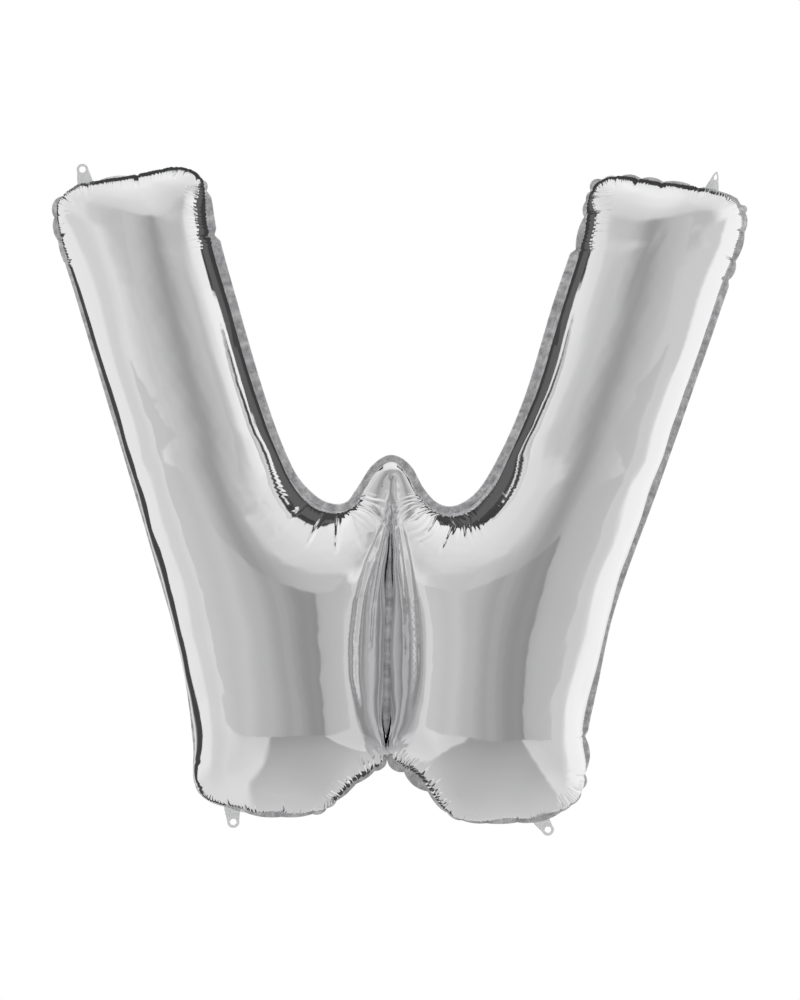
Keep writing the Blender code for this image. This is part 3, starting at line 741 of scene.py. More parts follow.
@dataclass
class BlowUp:
    """Blows up one film: a cloth solver with the seam and the weld held in place."""

    line: ClosedLine
    blown: ClosedLine
    carry: Carry
    weld: WeldLine
    # Least and most spacing along the seam, and how far the seam may turn in one step, in radians.
    seam_spacing: Pair = (8.0, 12.0)
    seam_turn: float = 0.32
    slot_spacing: float = 12.0
    # Columns: distance from the seam, spacing along it.
    rows: tuple[Pair, ...] = ((10, 12), (22, 15), (38, 19), (60, 25), (90, 31))
    # Clear space round a new point: share of its row's distance, share of its row's spacing,
    # the most of that spacing in row distances, and share of the grid's spacing.
    clear: tuple[float, float, float, float] = (0.94, 0.62, 2.2, 0.75)
    # One tuple of stages a level. Columns: rounds, pressure, push against shortening.
    plan: tuple[tuple[tuple[int, float, float], ...], ...] = (
        ((60, 0.05, 0.0), (200, 0.2, 0.02), (300, 0.06, 0.0), (400, 0.02, 0.0)),
        ((250, 0.02, 0.0), (400, 0.006, 0.0)),
    )
    fairing_rounds: int = 220
    hold: float = 0.5
    damping: float = 0.97
    start_depth: float = 10.0
    # Where the lobes feel each other: distance down the weld from and to, farthest and nearest to
    # its side, and how far they then stay off its middle plane.
    wall_span: Pair = (-30.0, 400.0)
    wall_reach: float = 160.0
    wall_core: float = 0.5
    wall_gap: float = 0.4
    flat: Array = field(init=False)
    faces: Array = field(init=False)
    seam: Array = field(init=False)
    slot: Array = field(init=False)

    def clearance(self, points: Array) -> Array:
        """Distance of points of the flat film from its edge or the weld, whichever is nearer."""
        return np.minimum(nearest_of(points, self.line.ring)[0], nearest_of(points, self.weld.ring(2.0))[0])

    @staticmethod
    def grown(kept: Array, points: Array, apart: float) -> Array:
        """Add to the points kept so far those that stay far enough apart.

        Args:
            kept: Points kept so far.
            points: Points that may join them.
            apart: Least distance between two.

        Returns:
            All points kept.
        """
        for point in points:
            if np.linalg.norm(kept - point, axis=1).min() > apart:
                kept = np.vstack([kept, point])
        return kept

    def cut(self) -> None:
        """Cut the flat film into triangles."""
        bend = np.abs(self.line.bend())
        spacing = np.clip(self.seam_turn / np.maximum(bend, 1e-4), *self.seam_spacing)
        seam = self.line.read(self.line.spaced(spacing))[0]
        slot = self.weld.ring(self.slot_spacing)
        kept = np.vstack([seam, slot])
        deep_share, row_share, most, grid_share = self.clear
        for depth, step in self.rows:
            even = self.line.read(self.line.spaced(np.full(len(bend), step)))
            for ring, away in (even, (slot, -outward(slot))):
                row = ring - away * depth
                row = row[inside(row, seam) & ~inside(row, slot)]
                row = row[self.clearance(row) > deep_share * depth]
                kept = self.grown(kept, row, row_share * min(step, most * depth))
        grid = hexagonal(seam.min(0), seam.max(0), step)
        grid = grid[inside(grid, seam)]
        kept = self.grown(kept, grid[self.clearance(grid) > depth], grid_share * step)
        self.flat, self.faces = triangulated(
            kept, (len(seam), len(slot)), lambda m: inside(m, seam) & ~inside(m, slot)
        )
        self.seam = np.arange(len(seam))
        self.slot = np.arange(len(seam), len(seam) + len(slot))

    def halved(self, place: Array) -> Array:
        """Split each triangle in four.

        Args:
            place: The points' places in space.

        Returns:
            The places of the old and the new points.
        """
        unique, which = np.unique(sides_of(self.faces), axis=0, return_inverse=True)
        start = len(self.flat)
        middle = start + which.reshape(3, len(self.faces)).T
        known = {tuple(pair): start + i for i, pair in enumerate(unique.tolist())}
        for name in ("seam", "slot"):
            ring = getattr(self, name).tolist()
            split = []
            for a, b in zip(ring, ring[1:] + ring[:1]):
                split += [a, known[(min(a, b), max(a, b))]]
            setattr(self, name, np.array(split))
        self.flat = np.vstack([self.flat, self.flat[unique].mean(1)])
        a, b, c = self.faces.T
        ab, bc, ca = middle.T
        corners = ((a, ab, ca), (ab, b, bc), (ca, bc, c), (ab, bc, ca))
        self.faces = np.vstack([np.stack(t, 1) for t in corners])
        return np.vstack([place, place[unique].mean(1)])

    def groups(self, edges: Array) -> list[Array]:
        """Sort the edges into groups in which no two share a point.

        Args:
            edges: The two points of each edge.

        Returns:
            The edges' indices, group by group.
        """
        used = [0] * len(self.flat)
        group = []
        for a, b in edges.tolist():
            free = ~(used[a] | used[b])
            bit = free & -free
            used[a] |= bit
            used[b] |= bit
            group.append(bit.bit_length() - 1)
        group = np.array(group)
        return [np.nonzero(group == g)[0] for g in range(group.max() + 1)]

    def held_places(self) -> Array:
        """Where the seam's and the weld's points are held, in space.

        Returns:
            Their places, the seam's first.
        """
        _, index = nearest_of(self.flat[self.seam], self.line.ring)
        seam, _ = self.blown.read(self.carry(self.line.at[index]))
        slot = self.weld.carried(self.flat[self.slot])
        both = np.vstack([seam, slot])
        return np.stack([both[:, 0], np.zeros(len(both)), both[:, 1]], 1)

    def lobe_wall(self) -> tuple[Array, Array, Array, Array]:
        """The plane over the weld that the two lobes press against, and who feels it on which side.

        Returns:
            A place on the plane, its direction, the points that feel it, and the side of each.
        """
        top, _, _, across = straight(self.weld.blown_top, self.weld.blown_foot)
        flat_top, _, flat_along, flat_across = straight(self.weld.flat_top, self.weld.flat_foot)
        down, aside = (self.flat - flat_top) @ flat_along, (self.flat - flat_top) @ flat_across
        near = (down > self.wall_span[0]) & (down < self.wall_span[1]) & (np.abs(aside) < self.wall_reach)
        felt = np.nonzero(near & (np.abs(aside) > self.wall_core))[0]
        return top, across, felt, np.sign(aside[felt])

    def relax(self, place: Array, stages: Iterable[tuple[int, float, float]]) -> Array:
        """Let the film find its shape under the gas.

        Args:
            place: The points' places in space.
            stages: Rounds, pressure and push against shortening, stage by stage.

        Returns:
            The points' new places.
        """
        count = len(place)
        f = self.faces
        edges = np.unique(sides_of(f), axis=0)
        rest = np.linalg.norm(self.flat[edges[:, 0]] - self.flat[edges[:, 1]], axis=1)
        groups = [(edges[g, 0], edges[g, 1], rest[g]) for g in self.groups(edges)]
        share = np.abs(spanned(self.flat, f)).sum() / 2 / count
        held = np.concatenate([self.seam, self.slot])
        goal = self.held_places()
        top, across, felt, side = self.lobe_wall()
        speed = np.zeros_like(place)
        corners = f.ravel()
        for rounds, pressure, push in stages:
            for _ in range(rounds):
                a, b, c = place[f[:, 0]], place[f[:, 1]], place[f[:, 2]]
                thrust = np.repeat(np.cross(b - a, c - a) * (pressure / share / 6), 3, axis=0)
                force = gathered(corners, thrust, count)
                before = place.copy()
                place = place + speed * self.damping + force
                for i, j, length in groups:
                    gap = place[j] - place[i]
                    now = np.sqrt(np.einsum("ij,ij->i", gap, gap)) + 1e-9
                    pull = (now - length) / now * 0.5
                    gap *= np.where(pull > 0, pull, pull * push)[:, None]
                    place[i] += gap
                    place[j] -= gap
                place[held] += (goal - place[held]) * self.hold
                aside = ((place[felt][:, [0, 2]] - top) @ across) * side
                short = np.minimum(aside - self.wall_gap, 0) * side
                place[felt, 0] -= short * across[0]
                place[felt, 2] -= short * across[1]
                speed = place - before
        return place

    def weights_at(self, points: Array) -> tuple[Array, Array]:
        """Find points of the flat film in its triangles.

        Args:
            points: Places on the flat film.

        Returns:
            For each, its weights at a triangle's corners, and those corners.
        """
        flat3 = np.column_stack([self.flat, np.zeros(len(self.flat))])
        tree = BVHTree.FromPolygons(flat3.tolist(), self.faces.tolist())
        hits = [tree.find_nearest((p[0], p[1], 0)) for p in points]
        face = self.faces[np.array([h[2] for h in hits])]
        where = np.array([h[0][:2] for h in hits])
        a, b, c = (self.flat[face[:, k]] for k in range(3))
        v0, v1, v2 = b - a, c - a, where - a
        size = cross(v0, v1)
        wb, wc = cross(v2, v1) / size, cross(v0, v2) / size
        return np.stack([1 - wb - wc, wb, wc], 1), face

    def run(self) -> Array:
        """Blow the film up.

        Returns:
            The points' places in space.
        """
        self.cut()
        place = np.stack([self.flat[:, 0], np.full(len(self.flat), -self.start_depth), self.flat[:, 1]], 1)
        for level, stages in enumerate(self.plan):
            if level:
                place = self.halved(place)
            place = self.relax(place, stages)
            log.info("blown, level %d: %d points, %.1f mm deep", level, len(place), -place[:, 1].min())
        place = faired(place, self.faces, np.concatenate([self.seam, self.slot]), self.fairing_rounds)
        log.info("faired: %.1f mm deep", -place[:, 1].min())
        return place


def vertex_normals(place: Array, faces: Array) -> Array:
    """Unit normals at the points of a mesh of triangles.

    Args:
        place: The points' places in space.
        faces: The triangles.

    Returns:
        The normals.
    """
    a, b, c = (place[faces[:, k]] for k in range(3))
    turned = np.repeat(np.cross(b - a, c - a), 3, axis=0)
    return unit(gathered(faces.ravel(), turned, len(place)))


@dataclass
class ArmFairing:
    """Evens one arm out along its length, so that it runs as a clean tube."""

    # Two places on the flat cut's straight edge on each side of the arm.
    outer: tuple[Pair, Pair]
    inner: tuple[Pair, Pair]
    reach: float = 42.0
    row: float = 6.0
    columns: int = 40
    # Heights on the flat cut: where it starts, where it is full from and to, where it ends.
    span: tuple[float, float, float, float] = (85.0, 150.0, 385.0, 445.0)
    margin: float = 25.0

    def edges(self, z: Array) -> tuple[Array, Array]:
        """The arm's outer and inner edge at heights on the flat cut.

        Args:
            z: The heights.

        Returns:
            X of the outer edge and of the inner edge at each.
        """
        found = []
        for (x0, z0), (x1, z1) in (self.outer, self.inner):
            found.append(x0 + (z - z0) * (x1 - x0) / (z1 - z0))
        return found[0], found[1]

    def applied(self, blow: BlowUp, place: Array) -> Array:
        """Even the arm out.

        Args:
            blow: The solver, with its flat mesh.
            place: Where its points are in space.

        Returns:
            The points' new places.
        """
        z = np.arange(self.span[0] - self.margin, self.span[3] + self.margin, self.row)
        turn = np.linspace(0, math.pi, self.columns + 1)
        share = (1 - np.cos(turn)) / 2
        left, right = self.edges(z)
        x = left[:, None] + (right - left)[:, None] * share
        flat = np.stack([x, np.broadcast_to(z[:, None], x.shape)], -1).reshape(-1, 2)
        weights, face = blow.weights_at(flat)
        grid = np.einsum("ij,ijk->ik", weights, place[face]).reshape(len(z), -1, 3)
        base = grid[:, :1]
        chord = grid[:, -1:] - base
        chord[..., 1] = 0
        length = np.linalg.norm(chord, axis=2, keepdims=True)
        axes = np.stack([chord / length, np.zeros_like(chord), np.zeros_like(chord)], -2)
        axes[..., 1, 1] = -1
        axes[..., 2, :] = np.cross(axes[..., 0, :], axes[..., 1, :])
        axes = np.broadcast_to(axes, (*grid.shape[:2], 3, 3))
        local = np.einsum("ijk,ijlk->ijl", grid - base, axes) / length
        kernel = np.exp(-0.5 * ((z[:, None] - z) / self.reach) ** 2)
        evened = np.einsum("ij,jkl->ikl", kernel / kernel.sum(1, keepdims=True), local)
        shift = np.einsum("ijl,ijlk->ijk", (evened - local) * length, axes)
        fade = smoothstep(self.span[0], self.span[1], z) * (1 - smoothstep(self.span[2], self.span[3], z))
        shift *= fade[:, None, None]

        across, height = blow.flat.T
        left, right = self.edges(height)
        t = (across - left) / (right - left)
        felt = np.nonzero((t > 0) & (t < 1) & (height > z[0]) & (height < z[-1]))[0]
        row = (height[felt] - z[0]) / self.row
        column = np.arccos(1 - 2 * t[felt]) * self.columns / math.pi
        i, j = row.astype(int), column.astype(int)
        u, v = (row - i)[:, None], (column - j)[:, None]
        near = shift[i, j] * (1 - v) + shift[i, j + 1] * v
        far = shift[i + 1, j] * (1 - v) + shift[i + 1, j + 1] * v
        moved = place.copy()
        moved[felt] += near * (1 - u) + far * u
        held = np.concatenate([blow.seam, blow.slot])
        moved[held] = place[held]
        return moved


@dataclass
class FineFilm:
    """The fine mesh of one film, in strips along the seam and the weld and a grid between."""

    line: ClosedLine
    weld: WeldLine
    pleated: Array
    column: float = 2.2
    pleated_column: float = 0.85
    rows: tuple[float, ...] = (0, 1, 2.6, 5, 8.5, 13, 19, 26, 34, 43, 53, 64)
    weld_column: float = 1.6
    weld_rows: tuple[float, ...] = (0, 1, 2.2, 3.8, 5.8, 8.4, 11.6)
    grid: float = 5.0
    # How near to a strip a point of the grid may lie, as a share of the grid's spacing there.
    grid_clear: float = 0.62
    # Discs with a finer grid. Columns: x, z, radius, spacing.
    finer: tuple[tuple[float, float, float, float], ...] = (
        (-80, -20, 92, 1.7), (62, -22, 92, 1.7), (-14, 30, 70, 1.9), (-11, 88, 40, 1.9),
        (-15, -80, 52, 2.4), (-16, -160, 52, 2.4), (-16, -240, 52, 2.4), (-17, -320, 60, 2.4),
    )
    # Shares of the strip's depth at which its room is tried: short of its inner edge, on it, past it.
    probes: tuple[float, float, float] = (0.7, 1.0, 1.3)
    # Least share of its own depth that a place past the edge keeps from the seam, and least share
    # of the seam's spacing that the inner edge keeps.
    free: float = 0.97
    open_edge: float = 0.3
    weld_gap: float = 4.0
    # What is left of the depth after each try that didn't fit, and how often it is tried.
    shrink: float = 0.92
    tries: int = 24
    # Neighbours that a pleat's spacing and a row's direction are evened over.
    spacing_blend: int = 12
    turn_blend: int = 24
    # How far the film bulges between the solver's points, as a share of what their normals say.
    bulge: float = 0.75
    flat: Array = field(init=False)
    faces: Array = field(init=False)
    at: Array = field(init=False)
    depth: Array = field(init=False)

    def strip(self, ring: Array, away: Array, rows: Sequence[float], scale: Array) -> tuple[Array, Array]:
        """A band of triangles along a ring.

        Args:
            ring: The ring's points.
            away: The direction of the rows at each point.
            rows: Distances of the rows.
            scale: How much of the rows' distances holds at each point.

        Returns:
            The points, row by row, and the triangles.
        """
        points = np.vstack([ring + away * (scale * depth)[:, None] for depth in rows])
        count = len(ring)
        i = np.arange(count)
        j = (i + 1) % count
        faces = []
        for k in range(len(rows) - 1):
            low, high = k * count, (k + 1) * count
            faces += [np.stack([low + i, low + j, high + j], 1), np.stack([low + i, high + j, high + i], 1)]
        return points, np.vstack(faces)

    def room(self, seam: Array, out: Array, slot: Array) -> Array:
        """How much of the strip's depth fits at each point of the seam.

        Args:
            seam: The seam's points.
            out: The outward normals there.
            slot: The weld's outline.

        Returns:
            A share from 0 to 1, changing softly along the seam.
        """
        reach = self.rows[-1]
        scale = np.ones(len(seam))
        along = np.roll(seam, -1, 0) - seam
        for _ in range(self.tries):
            places = [seam - out * (share * reach * scale)[:, None] for share in self.probes]
            tight = nearest_of(places[-1], self.line.ring)[0] < self.free * self.probes[-1] * reach * scale
            for place in places:
                tight |= nearest_of(place, slot)[0] < self.weld_rows[-1] + self.weld_gap
            opened = ((np.roll(places[1], -1, 0) - places[1]) * along).sum(1)
            closing = opened < self.open_edge * (along**2).sum(1)
            tight |= closing | np.roll(closing, 1)
            if not tight.any():
                break
            scale[tight] *= self.shrink
        for _ in range(3):
            scale = np.minimum(scale, softened(scale, self.turn_blend))
        return scale

    def build(self) -> None:
        """Make the fine mesh of the flat film, and each point's place along and off the seam."""
        share = softened(self.pleated.astype(float), self.spacing_blend)
        at = self.line.spaced(self.column + (self.pleated_column - self.column) * share)
        seam, out = self.line.read(at)
        out = unit(np.stack([softened(out[:, k], self.turn_blend) for k in (0, 1)], 1))
        slot = self.weld.ring(self.weld_column)
        scale = self.room(seam, out, slot)
        strip, strip_faces = self.strip(seam, -out, self.rows, scale)
        weld_strip, weld_faces = self.strip(slot, outward(slot), self.weld_rows, np.ones(len(slot)))
        edge, weld_edge = strip[-len(seam) :], weld_strip[-len(slot) :]
        inner = self.scattered(edge, weld_edge)
        _, middle = triangulated(
            np.vstack([edge, weld_edge, inner]),
            (len(edge), len(weld_edge)),
            lambda m: inside(m, edge) & ~inside(m, weld_edge),
        )
        base = len(strip) + len(weld_strip)
        index = np.concatenate([
            len(strip) - len(edge) + np.arange(len(edge)),
            base - len(weld_edge) + np.arange(len(weld_edge)),
            base + np.arange(len(inner)),
        ])
        self.flat = np.vstack([strip, weld_strip, inner])
        self.faces = np.vstack([strip_faces, weld_faces + len(strip), index[middle]])
        turned = spanned(self.flat, self.faces) < 0
        self.faces[turned] = self.faces[turned][:, ::-1]
        rest = self.flat[len(strip) :]
        distance, nearest = nearest_of(rest, self.line.ring)
        self.at = np.concatenate([np.tile(at, len(self.rows)), self.line.at[nearest]])
        self.depth = np.concatenate([np.outer(self.rows, scale).ravel(), distance])

    def scattered(self, edge: Array, weld_edge: Array) -> Array:
        """Points between the strips, closer together where the film is creased.

        Args:
            edge: The inner edge of the strip along the seam.
            weld_edge: The outer edge of the strip round the weld.

        Returns:
            The points.
        """
        low, high = edge.min(0), edge.max(0)
        kept = []
        for spacing in sorted({*(fine for *_, fine in self.finer), self.grid}):
            grid = hexagonal(low, high, spacing)
            near = np.full(len(grid), self.grid)
            for x, z, radius, fine in self.finer:
                here = np.hypot(grid[:, 0] - x, grid[:, 1] - z) < radius
                near[here] = np.minimum(near[here], fine)
            grid = grid[near == spacing]
            grid = grid[inside(grid, edge) & ~inside(grid, weld_edge)]
            clear = np.minimum(nearest_of(grid, edge)[0], nearest_of(grid, weld_edge)[0])
            kept.append(grid[clear > self.grid_clear * spacing])
        return np.vstack(kept)

    def raised(self, blow: BlowUp, place: Array) -> Array:
        """Lay the fine mesh smoothly on the blown film.

        Args:
            blow: The solver, with its flat mesh.
            place: Where its points are in space.

        Returns:
            The places of the fine mesh's points.
        """
        normals = vertex_normals(place, blow.faces)
        weights, face = blow.weights_at(self.flat)
        corners, turned = place[face], normals[face]
        level = np.einsum("ij,ijk->ik", weights, corners)
        off = np.einsum("ijk,ijk->ij", corners - level[:, None], turned)
        return level + self.bulge * np.einsum("ij,ij,ijk->ik", weights, off, turned)


@dataclass
class Wrinkles:
    """The small forms of the film: pleats, pinches and creases."""

    line: ClosedLine
    blown: ClosedLine
    carry: Carry
    seed: int = 7
    # Least and most that chance makes of each pleat's pitch, height and length.
    pitch_spread: Pair = (0.6, 1.4)
    height_spread: Pair = (0.35, 1.25)
    length_spread: Pair = (0.55, 1.2)
    # Distance over which the pleats start and end along a stretch.
    run_out: float = 12.0
    pinch_depth: float = 2.3
    pinch_width: float = 1.8
    pinch_length: float = 24.0
    # The same of each pinch's depth and length.
    pinch_depth_spread: Pair = (0.4, 1.2)
    pinch_length_spread: Pair = (0.5, 1.2)

    def stretch(self, row: Sequence[float]) -> tuple[float, float]:
        """Where a pleated stretch starts along the blown seam, and how long it is."""
        start, end = self.blown.nearest(row[:2]), self.blown.nearest(row[2:4])
        return start, (end - start) % self.blown.whole

    def pleated(self, at: Array) -> Array:
        """Whether the seam is puckered at distances along the flat seam.

        Args:
            at: The distances.

        Returns:
            True or False for each.
        """
        seam_at = self.carry(at)
        found = np.zeros(len(at), bool)
        for start, run in map(self.stretch, PLEATS):
            found |= (seam_at - start) % self.blown.whole < run
        return found

    def pleats(self, seam_at: Array, depth: Array, seen: Array) -> Array:
        """Height of the fine pleats at points of the film.

        Args:
            seam_at: Distance along the blown seam.
            depth: Distance from the seam over the film.
            seen: Distance from the seam, seen from the front.

        Returns:
            The height, outwards.
        """
        rng = np.random.default_rng(self.seed)
        high = np.zeros(len(depth))
        for *row, pitch, length, height in PLEATS:
            start, run = self.stretch(row)
            cells = max(3, round(run / pitch))
            edges = np.concatenate([[0], np.cumsum(rng.uniform(*self.pitch_spread, cells))])
            edges *= run / edges[-1]
            into = (seam_at - start) % self.blown.whole
            here = np.nonzero((into < run) & (seen < 1.3 * length))[0]
            into = into[here]
            cell = np.clip(np.searchsorted(edges, into, "right") - 1, 0, cells - 1)
            share = (into - edges[cell]) / (edges[cell + 1] - edges[cell])
            tall = rng.uniform(*self.height_spread, cells)[cell]
            long = length * rng.uniform(*self.length_spread, cells)[cell]
            fade = smoothstep(0, 2, depth[here]) * (1 - smoothstep(0.4, 1, seen[here] / long))
            ends = smoothstep(0, self.run_out, into) * (1 - smoothstep(run - self.run_out, run, into))
            high[here] += height * tall * np.abs(np.sin(np.pi * share)) * fade * ends
        return high

    def pinches(self, seam_at: Array, depth: Array, seen: Array) -> Array:
        """Depth of the pinches that run in from the seam between the flange's lenses.

        Args:
            seam_at: Distance along the blown seam.
            depth: Distance from the seam over the film.
            seen: Distance from the seam, seen from the front.

        Returns:
            The depth, inwards.
        """
        rng = np.random.default_rng(self.seed + 1)
        whole = self.blown.whole
        low = np.zeros(len(depth))
        for *cusp, _ in CUSPS:
            strong = rng.uniform(*self.pinch_depth_spread)
            long = self.pinch_length * rng.uniform(*self.pinch_length_spread)
            away = np.abs((seam_at - self.blown.nearest(cusp) + whole / 2) % whole - whole / 2)
            fade = smoothstep(-2, 3, depth) * (1 - smoothstep(0.25, 1, seen / long))
            low += self.pinch_depth * strong * np.exp(-away / self.pinch_width) * fade
        return low

    def creases(self, place: Array) -> Array:
        """Depth of the long creases at points of the film, by their place from the front.

        Args:
            place: Where the points are.

        Returns:
            The depth, inwards.
        """
        low = np.zeros(len(place))
        seen = place[:, [0, 2]]
        for width, depth, knots in CREASES:
            starts, runs = np.array(knots[:-1], float), np.diff(np.array(knots, float), axis=0)
            lengths = np.linalg.norm(runs, axis=1)
            passed = np.concatenate([[0], np.cumsum(lengths)])
            off, along = np.full(len(seen), np.inf), np.zeros(len(seen))
            for start, run, length, before in zip(starts, runs, lengths, passed):
                share = np.clip((seen - start) @ run / length**2, 0, 1)
                away = np.linalg.norm(seen - start - share[:, None] * run, axis=1)
                closer = away < off
                off[closer] = away[closer]
                along[closer] = (before + share[closer] * length) / passed[-1]
            taper = smoothstep(-0.05, 0.12, along) * (1 - smoothstep(0.6, 1, along))
            low += depth * np.exp(-((off / width) ** 2)) * taper
        return low

    def applied(self, film: FineFilm, place: Array) -> Array:
        """Press the small forms into a film.

        Args:
            film: The fine mesh.
            place: Where its points are.

        Returns:
            Their new places.
        """
        seam_at = self.carry(film.at)
        out = vertex_normals(place, film.faces)
        seen = nearest_of(place[:, [0, 2]], self.blown.ring)[0]
        high = self.pleats(seam_at, film.depth, seen) - self.pinches(seam_at, film.depth, seen)
        high -= self.creases(place)
        return place + out * high[:, None]


def mesh_object(name: str, place: Array, faces: Any, material: bpy.types.Material) -> bpy.types.Object:
    """Make one smooth mesh object.

    Args:
        name: The object's name.
        place: Points in millimetres.
        faces: Corner indices of the faces.
        material: The finish.

    Returns:
        The object, linked to the scene.
    """
    mesh = bpy.data.meshes.new(name)
    mesh.from_pydata((np.asarray(place) * MM).tolist(), [], np.asarray(faces).tolist())
    mesh.polygons.foreach_set("use_smooth", [True] * len(mesh.polygons))
    mesh.materials.append(material)
    made = bpy.data.objects.new(name, mesh)
    bpy.context.scene.collection.objects.link(made)
    return made


class Side(Enum):
    """Which film of the envelope."""

    FRONT = -1
    BACK = 1


@dataclass
class Envelope:
    """The two blown films."""

    line: ClosedLine
    blown: ClosedLine
    carry: Carry
    weld: WeldLine
    finish: MetallisedFilm = MetallisedFilm()

    def build(self) -> list[bpy.types.Object]:
        """Blow up the film, lay the fine mesh on it and make the front and the back.

        Returns:
            The two films.
        """
        blow = BlowUp(self.line, self.blown, self.carry, self.weld)
        place = blow.run()
        for outer, inner in ARMS:
            place = ArmFairing(outer, inner).applied(blow, place)
        pleated = Wrinkles(self.line, self.blown, self.carry).pleated(self.line.at)
        fine = FineFilm(self.line, self.weld, pleated)
        fine.build()
        raised = fine.raised(blow, place)
        log.info("fine film: %d points, %d triangles", len(raised), len(fine.faces))
        material = self.finish.make()
        made = []
        for side, node, seed in ((Side.FRONT, "front_film", 7), (Side.BACK, "back_film", 23)):
            shaped = Wrinkles(self.line, self.blown, self.carry, seed).applied(fine, raised)
            faces = fine.faces if side is Side.FRONT else fine.faces[:, ::-1]
            shaped = shaped * np.array([1, -side.value, 1])
            film = mesh_object(f"blown_{node}", shaped, faces, material)
            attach(film, ROOT)
            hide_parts(node)
            made.append(film)
            log.info("%s: %.1f mm deep", film.name, np.abs(shaped[:, 1]).max())
        return made


@dataclass
class EdgeSeal:
    """The welded flange round the outline, drawn up into lenses where the seam puckers."""

    blown: ClosedLine
    finish: HeatSealedFilm = HeatSealedFilm()
    seed: int = 11
    cusp: float = 3.4
    closest: float = 3.0
    longest_lens: float = 62.0
    # How full a lens is: 1 is a half wave, and less is fuller.
    fullness: float = 0.7
    # Between lenses that lie far apart: where the band is at its full width and lean, and its waves.
    full_width: float = 9.0
    full_lean: float = 30.0
    waves: Pair = (19.0, 7.3)
    inside: float = 0.8
    thick: float = 0.35
    step: float = 2.0
    tilt: float = 3.0
    rows: int = 7

    def width(self, at: Array) -> tuple[Array, Array]:
        """How far the flange stands out, and how it leans, at distances along the seam.

        Args:
            at: The distances.

        Returns:
            The width and the lean at each.
        """
        rng = np.random.default_rng(self.seed)
        whole = self.blown.whole
        marks = sorted((self.blown.nearest((x, z)), wide) for x, z, wide in CUSPS)
        marks = [m for k, m in enumerate(marks) if k == 0 or m[0] - marks[k - 1][0] > self.closest]
        width = np.zeros(len(at))
        lean = np.zeros(len(at))
        for k, (start, wide) in enumerate(marks):
            length = (marks[(k + 1) % len(marks)][0] - start) % whole
            here = (at - start) % whole < length
            into = ((at - start) % whole)[here]
            tip = rng.uniform(-1, 1)
            low = min(self.cusp, wide)
            if length < self.longest_lens:
                arc = np.sin(math.pi * into / length)
                width[here] = low + (wide - low) * arc**self.fullness
                lean[here] = self.tilt * tip * arc
            else:
                near = np.minimum(into, length - into)
                width[here] = low + (wide - low) * np.clip(near / self.full_width, 0, 1)
                wave = np.sin(into / self.waves[0] + tip) + 0.6 * np.sin(into / self.waves[1] + 2 * tip)
                lean[here] = 0.5 * wave * smoothstep(0, self.full_lean, near)
        return width, lean

    def build(self) -> bpy.types.Object:
        """Make the flange as one closed thin band."""
        at = self.blown.spaced(np.full(len(self.blown.ring), self.step))
        ring, out = self.blown.read(at)
        width, lean = self.width(at)
        points = []
        for side in (-1, 1):
            for k in np.linspace(0, 1, self.rows):
                flat = ring + out * (-self.inside + (width + self.inside) * k)[:, None]
                y = lean * k**1.5 + side * self.thick / 2
                points.append(np.stack([flat[:, 0], y, flat[:, 1]], 1))
        faces = wrapped(len(at), self.rows)
        seal = mesh_object("puckered_edge_seal", np.vstack(points), faces, self.finish.make())
        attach(seal, ROOT)
        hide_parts("perimeter_seal")
        return seal


@dataclass
class CentreWeld:
    """The welded strip down the middle, knurled by the sealing bars."""

    weld: WeldLine
    finish: HeatSealedFilm = HeatSealedFilm(name="centre_weld_film")
    width: float = 9.0
    overrun: float = 4.0
    step: float = 0.5
    thick: float = 0.5
    rib: float = 1.9
    relief: float = 0.6
    wave: float = 0.7
    # The buckles down the strip. Columns: length, slant, start, share.
    buckles: tuple[tuple[float, float, float, float], ...] = ((5.1, 0.3, 0.0, 0.6), (3.3, -0.5, 1.0, 0.4))

    def build(self) -> bpy.types.Object:
        """Make the strip as a closed thin sheet with crossed ribs."""
        top, length, along, across = straight(self.weld.blown_top, self.weld.blown_foot)
        rows = int(round((length + 2 * self.overrun) / self.step))
        columns = int(round(self.width / self.step)) + 1
        down, aside = np.meshgrid(
            np.linspace(-self.overrun, length + self.overrun, rows),
            np.linspace(-0.5, 0.5, columns) * self.width,
            indexing="ij",
        )
        ribs = [np.abs(((down + s * aside) / self.rib) % 2 - 1) for s in (1, -1)]
        knurl = self.relief * (ribs[0] * ribs[1] - 0.4)
        sway = np.zeros_like(down)
        for long, slant, start, share in self.buckles:
            sway += share * np.sin(down / long + slant * aside + start)
        flat = top + down[..., None] * along + aside[..., None] * across
        points = []
        for side in (-1, 1):
            y = 0.5 * (self.wave * sway) + side * (self.thick / 2 + knurl * 0.5)
            points.append(np.stack([flat[..., 0], y, flat[..., 1]], -1).reshape(-1, 3))
        count = rows * columns
        grid = np.arange(count).reshape(rows, columns)
        a, b, c, d = grid[:-1, :-1], grid[1:, :-1], grid[1:, 1:], grid[:-1, 1:]
        front = np.stack([a, d, c, b], -1).reshape(-1, 4)
        back = np.stack([a, b, c, d], -1).reshape(-1, 4) + count
        rim = np.concatenate([grid[0, :-1], grid[:-1, -1], grid[-1, :0:-1], grid[:0:-1, 0]])
        after = np.roll(rim, -1)
        wall = np.stack([rim, rim + count, after + count, after], 1)
        faces = np.vstack([front, back, wall])
        strip = mesh_object("knurled_centre_weld", np.vstack(points), faces, self.finish.make())
        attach(strip, ROOT)
        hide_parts("centre_weld")
        return strip


